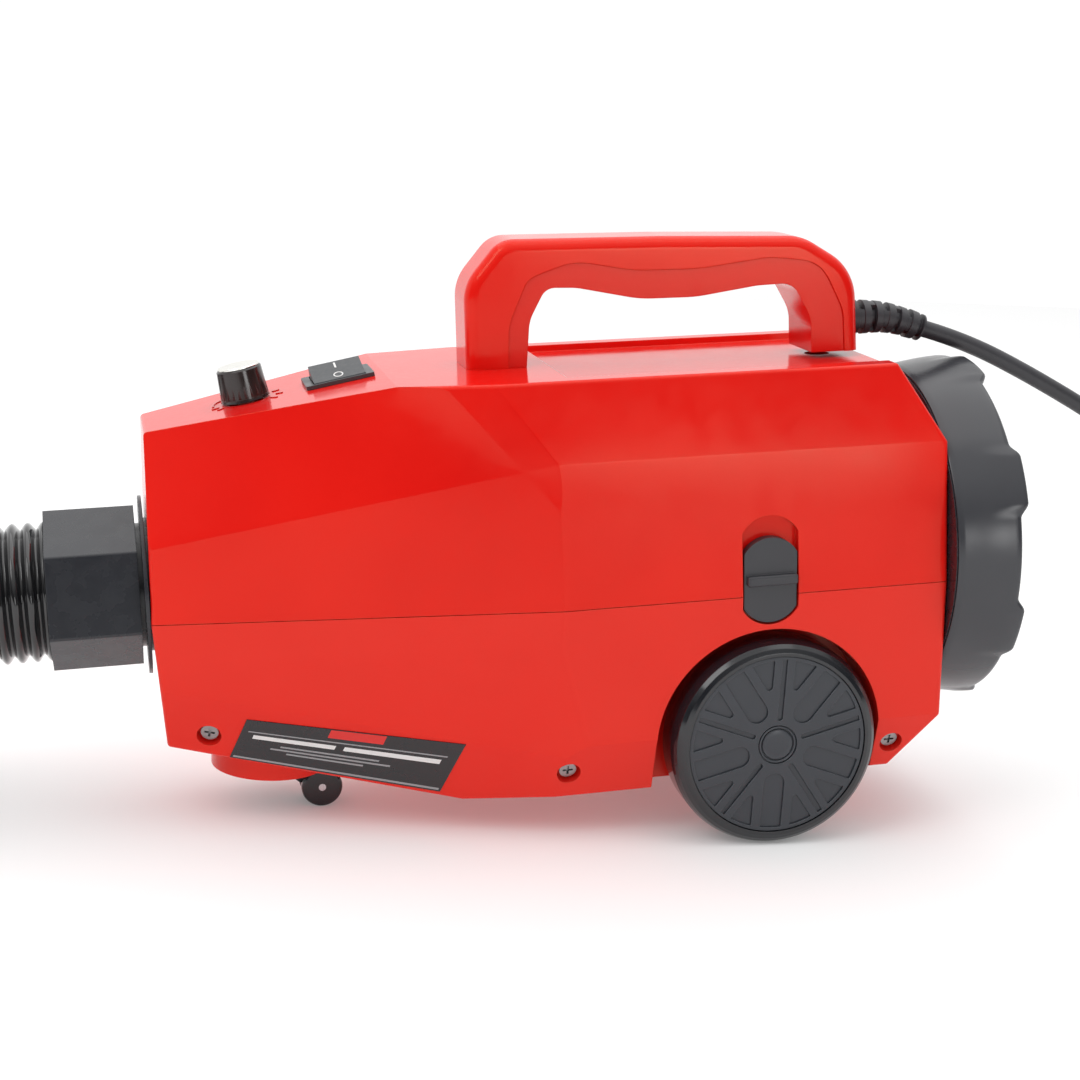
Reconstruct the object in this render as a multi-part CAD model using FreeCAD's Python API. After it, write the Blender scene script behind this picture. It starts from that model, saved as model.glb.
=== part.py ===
import FreeCAD, Part
import os, math
from FreeCAD import Vector as V, Placement, Rotation

os.makedirs("parts", exist_ok=True)

# ------------------------------------------------------------------ driving dimensions (mm)
# Body frame: x runs from the front face (hose end) to the rear (intake), y to the left side,
# z up, measured from under the rear wheels. The whole body leans nose-down on its small
# front caster, so every body-frame solid is turned by TILT about the rear axle at the end.
TILT = 4.6
AXLE_X, AXLE_Z = 278.8, 49.6
SHIFT_X = -171.55            # puts the origin under the middle of the bounding box
SHIFT_Z = 0.4               # wheel radius less axle height
WALL = 2.8
Z_PART = 121.5              # parting line between the two case halves
W_PART = 70.6               # half width at the parting line
W_RIDGE, Z_RIDGE = 65.8, 187.4
W_DECK, Z_DECK = 58.9, 223.5
W_FOLD, Z_FOLD = 67.3, 55.5
W_BASE, Z_BASE = 57.0, 28.0
X_REAR = 362.3
LIP_W, LIP_H = 8.5, 3.0     # raised lips each side of the deck
OUT_Z = 129.6               # centre of the outlet
CAP_Z = 131.5               # centre of the intake
WHEEL_R, WHEEL_W, WHEEL_Y = 50.0, 27.0, 73.4
ARCH_R, ARCH_X, ARCH_Z = 54.5, 276.6, 50.6
HOSE_D = 64.0
CORD_D = 8.4
PANEL_S = math.degrees(math.atan(0.1727))   # slope of the control panel
KNOB_X, ROCK_X = 47.2, 89.6
MOT_Z = 140.0
EPS = 0.05


def deck_z(x):
    return min(Z_DECK, 204.6 + 0.1727 * x)


# ------------------------------------------------------------------ helpers
def halfspace(p, n, size=900.0):
    # box lying on the outer side of the plane through p with outward normal n
    b = Part.makeBox(size, size, size, V(-size / 2, -size / 2, 0))
    b.Placement = Placement(V(*p), Rotation(V(0, 0, 1), V(*n)))
    return b


def convex(planes, off=0.0, box=(-60, -120, -20, 500, 240, 330)):
    s = Part.makeBox(box[3], box[4], box[5], V(box[0], box[1], box[2]))
    for p, n in planes:
        nv = V(*n).normalize()
        q = V(*p) - nv * off
        s = s.cut(halfspace((q.x, q.y, q.z), (nv.x, nv.y, nv.z)))
    return s


def plane3(a, b, c, inside=(200, 0, 120)):
    a, b, c = V(*a), V(*b), V(*c)
    n = (b - a).cross(c - a).normalize()
    if n.dot(V(*inside) - a) > 0:
        n = n * -1
    return ((a.x, a.y, a.z), (n.x, n.y, n.z))


def both(pl):
    (p, n) = pl
    return [pl, ((p[0], -p[1], p[2]), (n[0], -n[1], n[2]))]


def cyl(r, h, p, d=(0, 0, 1)):
    return Part.makeCylinder(r, h, V(*p), V(*d))


def cone(r1, r2, h, p, d=(0, 0, 1)):
    return Part.makeCone(r1, r2, h, V(*p), V(*d))


def box(x0, y0, z0, x1, y1, z1):
    return Part.makeBox(x1 - x0, y1 - y0, z1 - z0, V(x0, y0, z0))


def fuse(*s):
    r = s[0]
    for t in s[1:]:
        r = r.fuse(t)
    return r.removeSplitter()


def mirror(s):
    return s.mirror(V(0, 0, 0), V(0, 1, 0))


def prism_xz(pts, y0, y1):
    w = Part.makePolygon([V(x, y0, z) for x, z in pts] + [V(pts[0][0], y0, pts[0][1])])
    return Part.Face(w).extrude(V(0, y1 - y0, 0))


def prism_yz(pts, x0, x1):
    w = Part.makePolygon([V(x0, y, z) for y, z in pts] + [V(x0, pts[0][0], pts[0][1])])
    return Part.Face(w).extrude(V(x1 - x0, 0, 0))


def round_profile(pts):
    # closed outline in x-z with a corner radius at every point: [(x, z, r), ...]
    edges = []
    n = len(pts)
    tan = []
    for i in range(n):
        p0, p1, p2 = pts[i - 1], pts[i], pts[(i + 1) % n]
        a = V(p0[0] - p1[0], 0, p0[1] - p1[1]); b = V(p2[0] - p1[0], 0, p2[1] - p1[1])
        la, lb = a.Length, b.Length
        a.normalize(); b.normalize()
        ang = math.acos(max(-1, min(1, a.dot(b))))
        r = p1[2]
        P = V(p1[0], 0, p1[1])
        if r <= 0 or abs(ang - math.pi) < 1e-4:
            tan.append((P, P, None))
            continue
        t = r / math.tan(ang / 2)
        bis = (a + b).normalize()
        c = P + bis * (r / math.sin(ang / 2))
        tan.append((P + a * t, P + b * t, c - bis * r))
    for i in range(n):
        s, e, m = tan[i]
        if m is not None:
            edges.append(Part.Arc(s, m, e).toShape())
        nx = tan[(i + 1) % n][0]
        if (e - nx).Length > 1e-6:
            edges.append(Part.LineSegment(e, nx).toShape())
    return Part.Wire(edges)


def slab_xz(pts, y0, y1):
    f = Part.Face(round_profile(pts))
    f.translate(V(0, y0, 0))
    return f.extrude(V(0, y1 - y0, 0))


def revolve_x(prof, x0, zc):
    # profile [(x, r), ...] revolved about the line y=0, z=zc parallel to x
    pts = [V(x0 + x, 0, zc + r) for x, r in prof]
    f = Part.Face(Part.makePolygon(pts + [pts[0]]))
    return f.revolve(V(0, 0, zc), V(1, 0, 0), 360)


def revolve_y(prof, y0, xc, zc):
    pts = [V(xc, y0 + y, zc + r) for y, r in prof]
    f = Part.Face(Part.makePolygon(pts + [pts[0]]))
    return f.revolve(V(xc, 0, zc), V(0, 1, 0), 360)


def revolve_z(prof, x, y):
    pts = [V(x + r, y, z) for r, z in prof]
    f = Part.Face(Part.makePolygon(pts + [pts[0]]))
    return f.revolve(V(x, y, 0), V(0, 0, 1), 360)


def tip(s, cx, cz, deg):
    # lean a solid built upright at (cx, cz) so that its +z follows the sloping control panel
    t = s.copy()
    t.rotate(V(cx, 0, cz), V(0, 1, 0), -deg)
    return t


def to_world_pt(p):
    a = math.radians(TILT)
    dx, dz = p[0] - AXLE_X, p[2] - AXLE_Z
    return V(AXLE_X + dx * math.cos(a) - dz * math.sin(a) + SHIFT_X, p[1], AXLE_Z + dx * math.sin(a) + dz * math.cos(a) + SHIFT_Z)


def to_world(s):
    t = s.copy()
    t.rotate(V(AXLE_X, 0, AXLE_Z), V(0, 1, 0), -TILT)
    t.translate(V(SHIFT_X, 0, SHIFT_Z))
    return t



def to_body(s):
    t = s.copy()
    t.translate(V(-SHIFT_X, 0, -SHIFT_Z))
    t.rotate(V(AXLE_X, 0, AXLE_Z), V(0, 1, 0), TILT)
    return t


NODES = {}
WORLD = set()


def add(name, s, world=False):
    NODES[name] = s
    if world:
        WORLD.add(name)


# ------------------------------------------------------------------ case halves
P0 = (-2, -41.7, Z_PART)
P1 = (178.4, -W_PART, Z_PART)
K1 = (177.8, -W_RIDGE, Z_RIDGE)
A0 = (0, -23.0, 204.6)
R0 = (0, -39.6, 155.4)
F0 = (-0.5, -40.2, 90.2)
F1 = (134.5, -59.0, 60.2)
D1 = (150, -65.4, 104.0)
planes = [
    ((0, 0, 204.6), (-0.1727, 0, 1)),                 # control panel
    ((0, 0, Z_DECK), (0, 0, 1)),                      # deck
    plane3((0, -20, 204.6), (0, 20, 204.6), (-2.3, 0, Z_PART)),
    plane3((-2.3, -20, Z_PART), (-2.3, 20, Z_PART), (1.6, 0, 60)),
    ((X_REAR, 0, 100), (1, 0, 0)),
    plane3((339.5, -20, Z_DECK), (339.5, 20, Z_DECK), (X_REAR, 0, Z_RIDGE - 0.5)),
    plane3((X_REAR - 0.6, -20, 54), (X_REAR - 0.6, 20, 54), (340.5, 0, Z_BASE)),
    ((0, 0, Z_BASE), (0, 0, -1)),
    plane3((4, -20, 60.0), (4, 20, 60.0), (138, 0, 27.0)),
]
planes += both(plane3(K1, P1, P0))                                        # upper front side
planes += both(((0, -W_PART, Z_PART), (0, -(Z_RIDGE - Z_PART), W_PART - W_RIDGE)))
planes += both(((0, -W_RIDGE, Z_RIDGE), (0, -(Z_DECK - Z_RIDGE), W_RIDGE - W_DECK)))
planes += both(plane3(P0, P1, (178.4, -W_PART + 1.2, 90)))                # lower front side
planes += both(plane3(F0, D1, F1))                                        # shallow lower facet
planes += both(((0, -W_PART, Z_PART), (0, -(Z_PART - Z_FOLD), -(W_PART - W_FOLD))))
planes += both(plane3((100, -W_FOLD, Z_FOLD), (300, -W_FOLD, Z_FOLD), (200, -W_BASE, Z_BASE)))
planes += both(plane3(F0, F1, (136, -48.5, 27.6)))                        # front skirt
KT = (143.5, -59.0, 223.0)      # top of the kink edge


def lerp(p, q, t):
    return V(p[0] + (q[0] - p[0]) * t, p[1] + (q[1] - p[1]) * t, p[2] + (q[2] - p[2]) * t)


def front_cutter(off):
    # the upper front facet is gently twisted: a ruled surface between the front edge A0-R0
    # and the kink edge KT-K1, carried on past its borders
    def pt(u, v):
        a, b = lerp(A0, R0, u), lerp(KT, K1, u)
        p = lerp((a.x, a.y, a.z), (b.x, b.y, b.z), v)
        return p + V(0.24, 0.95, -0.15) * off
    e1 = Part.LineSegment(pt(-0.7, -0.15), pt(1.9, -0.15)).toShape()
    e2 = Part.LineSegment(pt(-0.7, 1.35), pt(1.9, 1.35)).toShape()
    f = Part.makeRuledSurface(e1, e2)
    return f.extrude(V(-20, -130, 0))


def body(off, rnd=0.0):
    s = convex(planes, off + rnd)
    if rnd > 0:
        s = s.makeOffsetShape(rnd, 0.001, False, False, 0, 0, False)
        s = s.Solids[0] if s.Solids else s
    w = front_cutter(off)
    s = s.cut(w).cut(mirror(w))
    return s


outer = body(0.0)
inner = body(WALL)
outer_r = body(0.0, 2.0)
print("outer valid", outer_r.isValid(), round(outer.Volume), round(outer_r.Volume), round(inner.Volume))
try:
    sel = []
    for e in outer_r.Edges:
        if e.Length < 20:
            continue
        m = e.valueAt((e.FirstParameter + e.LastParameter) / 2)
        y = abs(m.y)
        # kink edge and diagonal ridge of the twisted facet
        for p, q in ((KT, K1), (R0, K1)):
            p_, q_ = V(p[0], abs(p[1]), p[2]), V(q[0], abs(q[1]), q[2])
            t = (q_ - p_).normalize()
            d = V(m.x, y, m.z) - p_
            if (d - t * d.dot(t)).Length < 1.0:
                sel.append(e)
    print("facet edges", len(sel), [round(e.Length, 1) for e in sel])
    f2 = outer_r.makeFillet(1.5, sel)
    if f2.isValid() and f2.Volume > 0.98 * outer_r.Volume:
        outer_r = f2
        print("facet edges rounded")
except Exception as ex:
    print("facet edges left crisp", ex)

# wheel wells
well = fuse(*[Part.makeCylinder(ARCH_R, 60, V(ARCH_X, s * 43.5, ARCH_Z), V(0, s, 0)) for s in (1, -1)])
well_low = fuse(*[box(ARCH_X - ARCH_R, min(s * 43.5, s * 103.5), -40, ARCH_X + ARCH_R, max(s * 43.5, s * 103.5), ARCH_Z) for s in (1, -1)])
wells = well.fuse(well_low)
wg = ARCH_R + WALL
well_g = fuse(*[Part.makeCylinder(wg, 60, V(ARCH_X, s * 41.0, ARCH_Z), V(0, s, 0)) for s in (1, -1)])
well_lg = fuse(*[box(ARCH_X - wg, min(s * 41.0, s * 103.5), -40, ARCH_X + wg, max(s * 41.0, s * 103.5), ARCH_Z) for s in (1, -1)])
wells_g = well_g.fuse(well_lg)
case = outer_r.cut(wells).cut(inner.cut(wells_g))

# sunk deck between the lips, on the flat part of the top
dk_in = prism_yz([(-W_DECK + LIP_W, Z_DECK + 3), (-W_DECK + LIP_W + LIP_H, Z_DECK - LIP_H),
                  (W_DECK - LIP_W - LIP_H, Z_DECK - LIP_H), (W_DECK - LIP_W, Z_DECK + 3)], 186, 400)
dk_keep = box(186, -W_DECK + 3, Z_DECK - LIP_H - WALL, 352, W_DECK - 3, Z_DECK - 1)
case = case.fuse(dk_keep.common(outer)).cut(dk_in)

# latch recesses in both side walls, with a backing behind
LATCH_X, LATCH_Z0, LATCH_Z1, LATCH_W, LATCH_R = 275.4, 108.5, 148.5, 25.2, 14.6


def stadium(z0, z1, w, y0, y1, xc=LATCH_X, r=LATCH_R):
    h = w / 2.0
    k = r - math.sqrt(r * r - h * h)
    a1 = Part.Arc(V(xc - h, y0, z1 - k), V(xc, y0, z1), V(xc + h, y0, z1 - k)).toShape()
    a2 = Part.Arc(V(xc + h, y0, z0 + k), V(xc, y0, z0), V(xc - h, y0, z0 + k)).toShape()
    l1 = Part.LineSegment(V(xc + h, y0, z1 - k), V(xc + h, y0, z0 + k)).toShape()
    l2 = Part.LineSegment(V(xc - h, y0, z0 + k), V(xc - h, y0, z1 - k)).toShape()
    return Part.Face(Part.Wire([a1, l1, a2, l2])).extrude(V(0, y1 - y0, 0))


rec = stadium(LATCH_Z0 - 1.0, 158.5, LATCH_W + 1.6, -80, -64.6, r=LATCH_R + 0.8)
back = stadium(LATCH_Z0 - 4.0, 161.5, LATCH_W + 7.0, -66.5, -61.9, r=LATCH_R + 3.4)
slot_in = box(LATCH_X - 4.2, -66, 116, LATCH_X + 4.2, -55, 141)
for m in (lambda s: s, mirror):
    case = case.fuse(m(back)).cut(m(rec)).cut(m(slot_in))

# outlet hole, intake hole, knob and switch holes, caster hole, axle holes
case = case.cut(cyl(31.0, 12, (-8, 0, OUT_Z), (1, 0, 0)))
case = case.cut(cyl(58.0, 14, (X_REAR - 9, 0, CAP_Z), (1, 0, 0)))
kz = deck_z(KNOB_X)
rz = deck_z(ROCK_X)
case = case.cut(tip(cyl(4.2, 20, (KNOB_X, 0, kz - 10)), KNOB_X, kz, PANEL_S))
case = case.cut(tip(box(ROCK_X - 13.7, -11.2, rz - 10, ROCK_X + 13.7, 11.2, rz + 10), ROCK_X, rz, PANEL_S))
case = case.cut(cyl(4.15, 200, (AXLE_X, -100, AXLE_Z), (0, 1, 0)))
CAST_X = 49.5
case = case.cut(cyl(10.5, 40, (CAST_X, 0, 34)))
# air passage up through the handle foot for the mains lead
case = case.cut(cyl(6.0, 14, (322, 0, 212)))
# recesses for the six case screws along the skirt
SCREWS = [(20.0, 66.3), (181.3, 41.2), (339.6, 41.2)]
screws = []
for i, (sx, sz) in enumerate(SCREWS):
    if i == 0:
        pl = plane3(F0, F1, (136, -48.5, 27.6))
    else:
        pl = plane3((100, -W_FOLD, Z_FOLD), (300, -W_FOLD, Z_FOLD), (200, -W_BASE, Z_BASE))
    pp, nn = V(*pl[0]), V(*pl[1])
    # point of the skirt plane at this x and z
    y = pp.y - ((sx - pp.x) * nn.x + (sz - pp.z) * nn.z) / nn.y
    c = V(sx, y, sz)
    inw = nn * -1
    rec_s = Part.makeCylinder(5.6, 9.0, c - inw * 4.0, inw)
    boss = Part.makeCylinder(8.2, 9.0, c, inw).common(body(0.3))
    hole = Part.makeCylinder(2.1, 16, c, inw)
    scr = fuse(Part.makeCylinder(4.0, 2.4, c + inw * 2.55, inw), Part.makeCylinder(2.02, 15, c + inw * 4.9, inw))
    cross = fuse(box(-2.4, -0.55, 0, 2.4, 0.55, 1.5), box(-0.55, -2.4, 0, 0.55, 2.4, 1.5))
    cross.Placement = Placement(c + inw * 2.5, Rotation(V(0, 0, 1), inw))
    scr = scr.cut(cross)
    for m in (lambda s: s, mirror):
        case = case.fuse(m(boss)).cut(m(rec_s)).cut(m(hole))
        screws.append(m(scr))

top_box = box(-40, -120, Z_PART + 0.15, 460, 120, 330)
low_box = box(-40, -120, -60, 460, 120, Z_PART - 0.15)
upper = case.common(top_box)
lower = case.common(low_box)


def biggest(s):
    return sorted(s.Solids, key=lambda k: k.Volume)[-1]


print("upper solids", [round(k.Volume) for k in upper.Solids], "lower", [round(k.Volume) for k in lower.Solids])
upper = biggest(upper)
lower = biggest(lower)
add("upper_shell", upper)
add("lower_shell", lower)
add("case_screws", Part.makeCompound(screws))

# ------------------------------------------------------------------ handle, two mouldings
HW = 16.5
HX0, HX1 = 147.0, 337.5
hz = Z_DECK
outl = [(HX0 + 0.2, hz - 0.0, 0), (HX0, 262.0, 22), (164.0, 282.0, 14), (240, 280.8, 0), (309.0, 278.4, 26),
        (HX1 - 2.0, 262.0, 26), (HX1, hz - 0.0, 0)]
gap = [(174.6, hz - 5, 0), (176.6, 245.0, 18), (184.5, 259.6, 7), (199.0, 259.0, 30), (229.0, 252.6, 60), (256.0, 252.4, 60), (286.0, 256.4, 30),
       (303.5, 256.9, 9), (313.0, 240.0, 18), (313.5, hz - 5, 0)]
H = slab_xz(outl, -HW, HW)
try:
    top_edges = [e for e in H.Edges if e.BoundBox.YLength < 0.1 and e.BoundBox.ZMax > hz + 1.0]
    H2 = H.makeFillet(5.5, top_edges)
    if H2.isValid():
        H = H2
        print("handle rounded")
except Exception as ex:
    print("handle edges left square", ex)
G = slab_xz(gap, -HW - 2, HW + 2)
H = H.cut(G)
# the inside: channel for the mains lead, walls 2.8
cav_out = [(HX0 + 3.0, hz - 0.0, 0), (HX0 + 3.0, 260.8, 19), (165.5, 278.9, 11), (240, 277.8, 0), (307.4, 275.4, 23), (HX1 - 5.0, 260.0, 23), (HX1 - 3.0, hz - 0.0, 0)]
gap_in = [(171.6, hz - 5, 0), (173.6, 246.0, 19), (183.4, 262.6, 8), (199.0, 262.0, 32), (229.0, 255.6, 62), (256.0, 255.4, 62), (286.0, 259.4, 32),
          (305.0, 259.9, 10), (316.0, 240.5, 19), (316.5, hz - 5, 0)]
C = slab_xz(cav_out, -HW + 3.2, HW - 3.2).cut(slab_xz(gap_in, -HW - 2, HW + 2))
Hs = H.cut(C)
# split line between the outer moulding and the inner grip moulding
spl = [(166.2, hz - 5, 0), (166.8, 243.5, 24), (176.0, 264.0, 10), (197.6, 271.5, 30), (226.0, 266.0, 60), (258.0, 265.6, 60), (292.0, 269.6, 30),
       (317.0, 266.5, 18), (329.0, 243.0, 24), (330.0, hz - 5, 0)]
S = slab_xz(spl, -HW - 3, HW + 3)
h_outer = Hs.cut(S)
h_inner = Hs.common(slab_xz([(x, z, r) for x, z, r in spl], -HW + 0.8, HW - 0.8))
# cord exit hole through the rear leg
CORD_Z = 237.2
exit_hole = cyl(6.6, 20, (HX1 - 12, 0, CORD_Z), (1, 0, 0))
h_outer = h_outer.cut(exit_hole)
for nm, s in (("outer", h_outer), ("inner", h_inner)):
    print("handle", nm, [round(k.Volume) for k in s.Solids])
add("handle_cover", Part.makeCompound(h_outer.Solids) if len(h_outer.Solids) > 1 else h_outer)
add("handle_grip", Part.makeCompound(h_inner.Solids) if len(h_inner.Solids) > 1 else h_inner)

# ------------------------------------------------------------------ outlet: socket, nut, cuff
sock = fuse(revolve_x([(0, 24.4), (0, 41.0), (1.6, 41.0), (1.6, 30.7), (22.6, 30.7), (22.6, 27.5), (1.6, 27.5), (1.6, 24.4)], -4.1, OUT_Z),
            revolve_x([(-9.0, 24.4), (-9.0, 26.6), (-7.0, 28.4), (0.2, 28.4), (0.2, 24.4)], -4.1, OUT_Z))
lugs = []
for k in range(3):
    b = box(-12.6, -3.0, 27.2, -9.8, 3.0, 30.2)
    b.rotate(V(0, 0, 0), V(1, 0, 0), 120 * k)
    b.translate(V(0, 0, OUT_Z))
    lugs.append(b)
sock = fuse(sock, *lugs)
add("outlet_socket", sock)

# hexagonal nut, bore fitting over the socket neck, turned on with a bayonet
NUT_R, NUT_T = 37.0, -8.0


def hexa(r, x0, x1, rot):
    return prism_yz([(-r * math.sin(math.radians(rot + 60 * k)), OUT_Z + r * math.cos(math.radians(rot + 60 * k))) for k in range(6)], x0, x1)


nut = hexa(NUT_R, -46.5, -6.2, NUT_T)
try:
    n2 = nut.makeFillet(1.6, [e for e in nut.Edges if e.BoundBox.XLength > 30])
    if n2.isValid():
        nut = n2
except Exception:
    pass
nut = nut.cut(cyl(28.7, 12.0, (-15.9, 0, OUT_Z), (1, 0, 0))).cut(cyl(26.6, 12, (-20, 0, OUT_Z), (1, 0, 0))).cut(cyl(30.7, 36.7, (-56.0, 0, OUT_Z), (1, 0, 0)))
for k in range(3):
    # locked at the groove's end; the way in lies 34 degrees further round
    b = cyl(30.5, 3.6, (-13.2, 0, 0), (1, 0, 0)).common(prism_yz([(0, 0), (-60 * math.sin(math.radians(7)), 60 * math.cos(math.radians(7))), (0, 70), (60 * math.sin(math.radians(41)), 60 * math.cos(math.radians(41)))], -20, 0))
    c = box(-13.2, -3.6, 20.0, -5.0, 3.6, 30.5)
    c.rotate(V(0, 0, 0), V(1, 0, 0), -34)
    b = b.fuse(c)
    b.rotate(V(0, 0, 0), V(1, 0, 0), 120 * k)
    b.translate(V(0, 0, OUT_Z))
    nut = nut.cut(b)
nut = biggest(nut)
add("hose_nut", nut)

# cuff: the hose screws into it; it is held in the nut by its collar
cuff = revolve_x([(0, 23.6), (0, 30.4), (27.0, 30.4), (27.0, 26.3), (30.7, 26.3), (30.7, 27.9), (32.0, 27.9), (32.0, 23.6)], -46.4, OUT_Z)
add("hose_cuff", cuff)

# duct from the motor to the outlet
duct = revolve_x([(1.5, 24.6), (1.5, 27.2), (23, 27.2), (60, 47.0), (94, 47.0), (94, 44.4), (61, 44.4), (23.5, 24.6)], -3.8, OUT_Z)
add("air_duct", duct)

# ------------------------------------------------------------------ motor unit
mx = 112.0
add("motor_can", revolve_x([(0, 0), (0, 16), (8, 16), (8, 41), (62, 41), (62, 38.6), (10.4, 38.6), (10.4, 13.4), (2.4, 13.4), (2.4, 8.0), (0, 8.0)][1:], mx, MOT_Z - 6))
add("motor_stator", revolve_x([(16, 24), (16, 38.3), (54, 38.3), (54, 24)], mx, MOT_Z - 6))
add("motor_shaft", fuse(cyl(4.0, 106, (mx + 4, 0, MOT_Z - 6), (1, 0, 0))))
add("motor_rotor", revolve_x([(18, 4.0), (18, 23.2), (52, 23.2), (52, 4.0)], mx, MOT_Z - 6))
add("commutator", revolve_x([(9.5, 4.0), (9.5, 11.0), (17, 11.0), (17, 4.0)], mx, MOT_Z - 6))
brs = []
for s_ in (1, -1):
    brs.append(box(mx + 11, min(s_ * 11.2, s_ * 34), MOT_Z - 9, mx + 15.6, max(s_ * 11.2, s_ * 34), MOT_Z - 3))
add("carbon_brushes", Part.makeCompound(brs))
add("front_bearing", revolve_x([(2.6, 4.04), (2.6, 13.2), (9.3, 13.2), (9.3, 4.04)], mx, MOT_Z - 6))
add("rear_bearing", revolve_x([(62.3, 4.04), (62.3, 13.2), (69, 13.2), (69, 4.04)], mx, MOT_Z - 6))
add("fan_plate", revolve_x([(62.2, 13.4), (62.2, 52.0), (66.0, 52.0), (66.0, 40.0), (71.4, 13.4), (71.4, 4.6), (69.3, 4.6), (69.3, 13.4)], mx, MOT_Z - 6))
# impeller: two discs with curved blades between
imp = fuse(revolve_x([(74, 4.0), (74, 49), (75.4, 49), (75.4, 9), (92, 9), (92, 4.0)], mx, MOT_Z - 6),
           revolve_x([(91.0, 18), (87.6, 49), (88.8, 49), (92.2, 18)], mx, MOT_Z - 6))
blades = []
for k in range(9):
    a = cyl(24, 17, (mx + 75.0, 0, 24.0 + 13), (1, 0, 0)).cut(cyl(22.8, 17, (mx + 75.0, 0, 24.0 + 13), (1, 0, 0)))
    a = a.common(box(mx + 70, 0, 10, mx + 95, 40, 48.5)).common(revolve_x([(75.2, 10), (75.2, 48.6), (87.9, 48.6), (91.2, 19), (91.2, 10)], mx, 0))
    a.rotate(V(0, 0, 0), V(1, 0, 0), 40 * k)
    a.translate(V(0, 0, MOT_Z - 6))
    blades.append(biggest(a))
imp = fuse(imp, *blades)
add("impeller", imp)
add("fan_housing", revolve_x([(66.2, 50.4), (66.2, 52.8), (98, 52.8), (98, 20.0), (95.6, 20.0), (95.6, 50.4)], mx, MOT_Z - 6))
add("motor_ring_front", revolve_x([(14, 41.2), (14, 44.2), (26, 44.2), (26, 41.2)], mx, MOT_Z - 6))
add("motor_ring_rear", revolve_x([(70, 53.0), (70, 57.0), (88, 57.0), (88, 53.0)], mx, MOT_Z - 6))
# cradle rising from the lower case half, bored to suit the rubber rings
def cradle(x0, x1, r):
    c = box(x0, -46, 33.5, x1, 46, MOT_Z - 24)
    c = c.cut(cyl(r, 60, (x0 - 10, 0, MOT_Z - 6), (1, 0, 0)))
    c = c.cut(box(x0 - 5, -30, 44, x1 + 5, 30, 66))
    return c.common(convex(planes, WALL + 0.4))
add("motor_cradle", Part.makeCompound([biggest(cradle(mx + 17, mx + 23, 44.4)), biggest(cradle(mx + 75, mx + 82, 57.2))]))

# ------------------------------------------------------------------ intake: ring, filter, cap
ring = revolve_x([(0, 58.0), (0, 79.0), (5.4, 79.0), (5.4, 74.6), (14.0, 74.6), (14.0, 71.6), (5.0, 71.6), (3.4, 58.0)], X_REAR + 0.2, CAP_Z)
ribs = []
for k in range(4):
    b = box(X_REAR + 0.5, -2.0, 4.0, X_REAR + 3.2, 2.0, 59)
    b.rotate(V(0, 0, 0), V(1, 0, 0), 45 + 90 * k)
    b.translate(V(0, 0, CAP_Z))
    ribs.append(b)
ribs.append(cyl(7.0, 3.4, (X_REAR + 0.2, 0, CAP_Z), (1, 0, 0)))
for r_ in (10, 22, 34, 46):
    ribs.append(revolve_x([(0, r_), (0, r_ + 2.4), (3.4, r_ + 2.4), (3.4, r_)], X_REAR + 0.2, CAP_Z))
blug = []
for k in range(3):
    b = box(X_REAR + 9.0, -5, 73.8, X_REAR + 12.0, 5, 76.4)
    b.rotate(V(0, 0, 0), V(1, 0, 0), 120 * k + 30)
    b.translate(V(0, 0, CAP_Z))
    blug.append(b)
add("intake_ring", fuse(ring, *(ribs + blug)))
add("filter_foam", revolve_x([(0, 4.0), (0, 70.8), (13, 70.8), (13, 4.0)], X_REAR + 7.4, CAP_Z))
# cap: flared bell with seven grip lobes on its rim
cx0 = X_REAR + 6.0
CAP_L = 25.0
bell = revolve_x([(0, 77.4), (0, 80.6), (CAP_L - 3.0, 84.6), (CAP_L, 84.0), (CAP_L, 79.0), (CAP_L - 2.6, 79.0), (CAP_L - 2.6, 80.0), (1.0, 77.4)], cx0, CAP_Z)
lobes = []
for k in range(7):
    a0 = 51.43 * k + 12.0
    w = revolve_x([(CAP_L - 6.0, 80.2), (CAP_L - 6.0, 84.1), (CAP_L + 2.8, 85.6), (CAP_L + 4.8, 84.6), (CAP_L + 4.8, 79.4), (CAP_L - 2.0, 79.4)], cx0, CAP_Z)
    wedge = prism_yz([(0, CAP_Z), (-120 * math.sin(math.radians(9.0)), CAP_Z + 120 * math.cos(math.radians(9.0))),
                      (120 * math.sin(math.radians(9.0)), CAP_Z + 120 * math.cos(math.radians(9.0)))], cx0, cx0 + CAP_L + 6)
    w = w.common(wedge)
    w.rotate(V(0, 0, CAP_Z), V(1, 0, 0), a0)
    lobes.append(w)
# rear grille of the cap: dished rings and seven spokes
gx = CAP_L - 2.6
grille = [revolve_x([(gx, r_), (gx, r_ + 3.0), (gx + 2.6, r_ + 3.0), (gx + 2.6, r_)], cx0, CAP_Z) for r_ in (14, 24, 34, 44, 54, 64, 74)]
grille.append(revolve_x([(gx, 0.0), (gx, 8.0), (gx + 3.4, 8.0), (gx + 3.4, 0.0)], cx0, CAP_Z))
for k in range(7):
    b = box(cx0 + gx, -1.8, 6, cx0 + gx + 2.6, 1.8, 79.6)
    b.rotate(V(0, 0, 0), V(1, 0, 0), 51.43 * k + 12.0)
    b.translate(V(0, 0, CAP_Z))
    grille.append(b)
cap = fuse(bell, *(lobes + grille))
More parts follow.
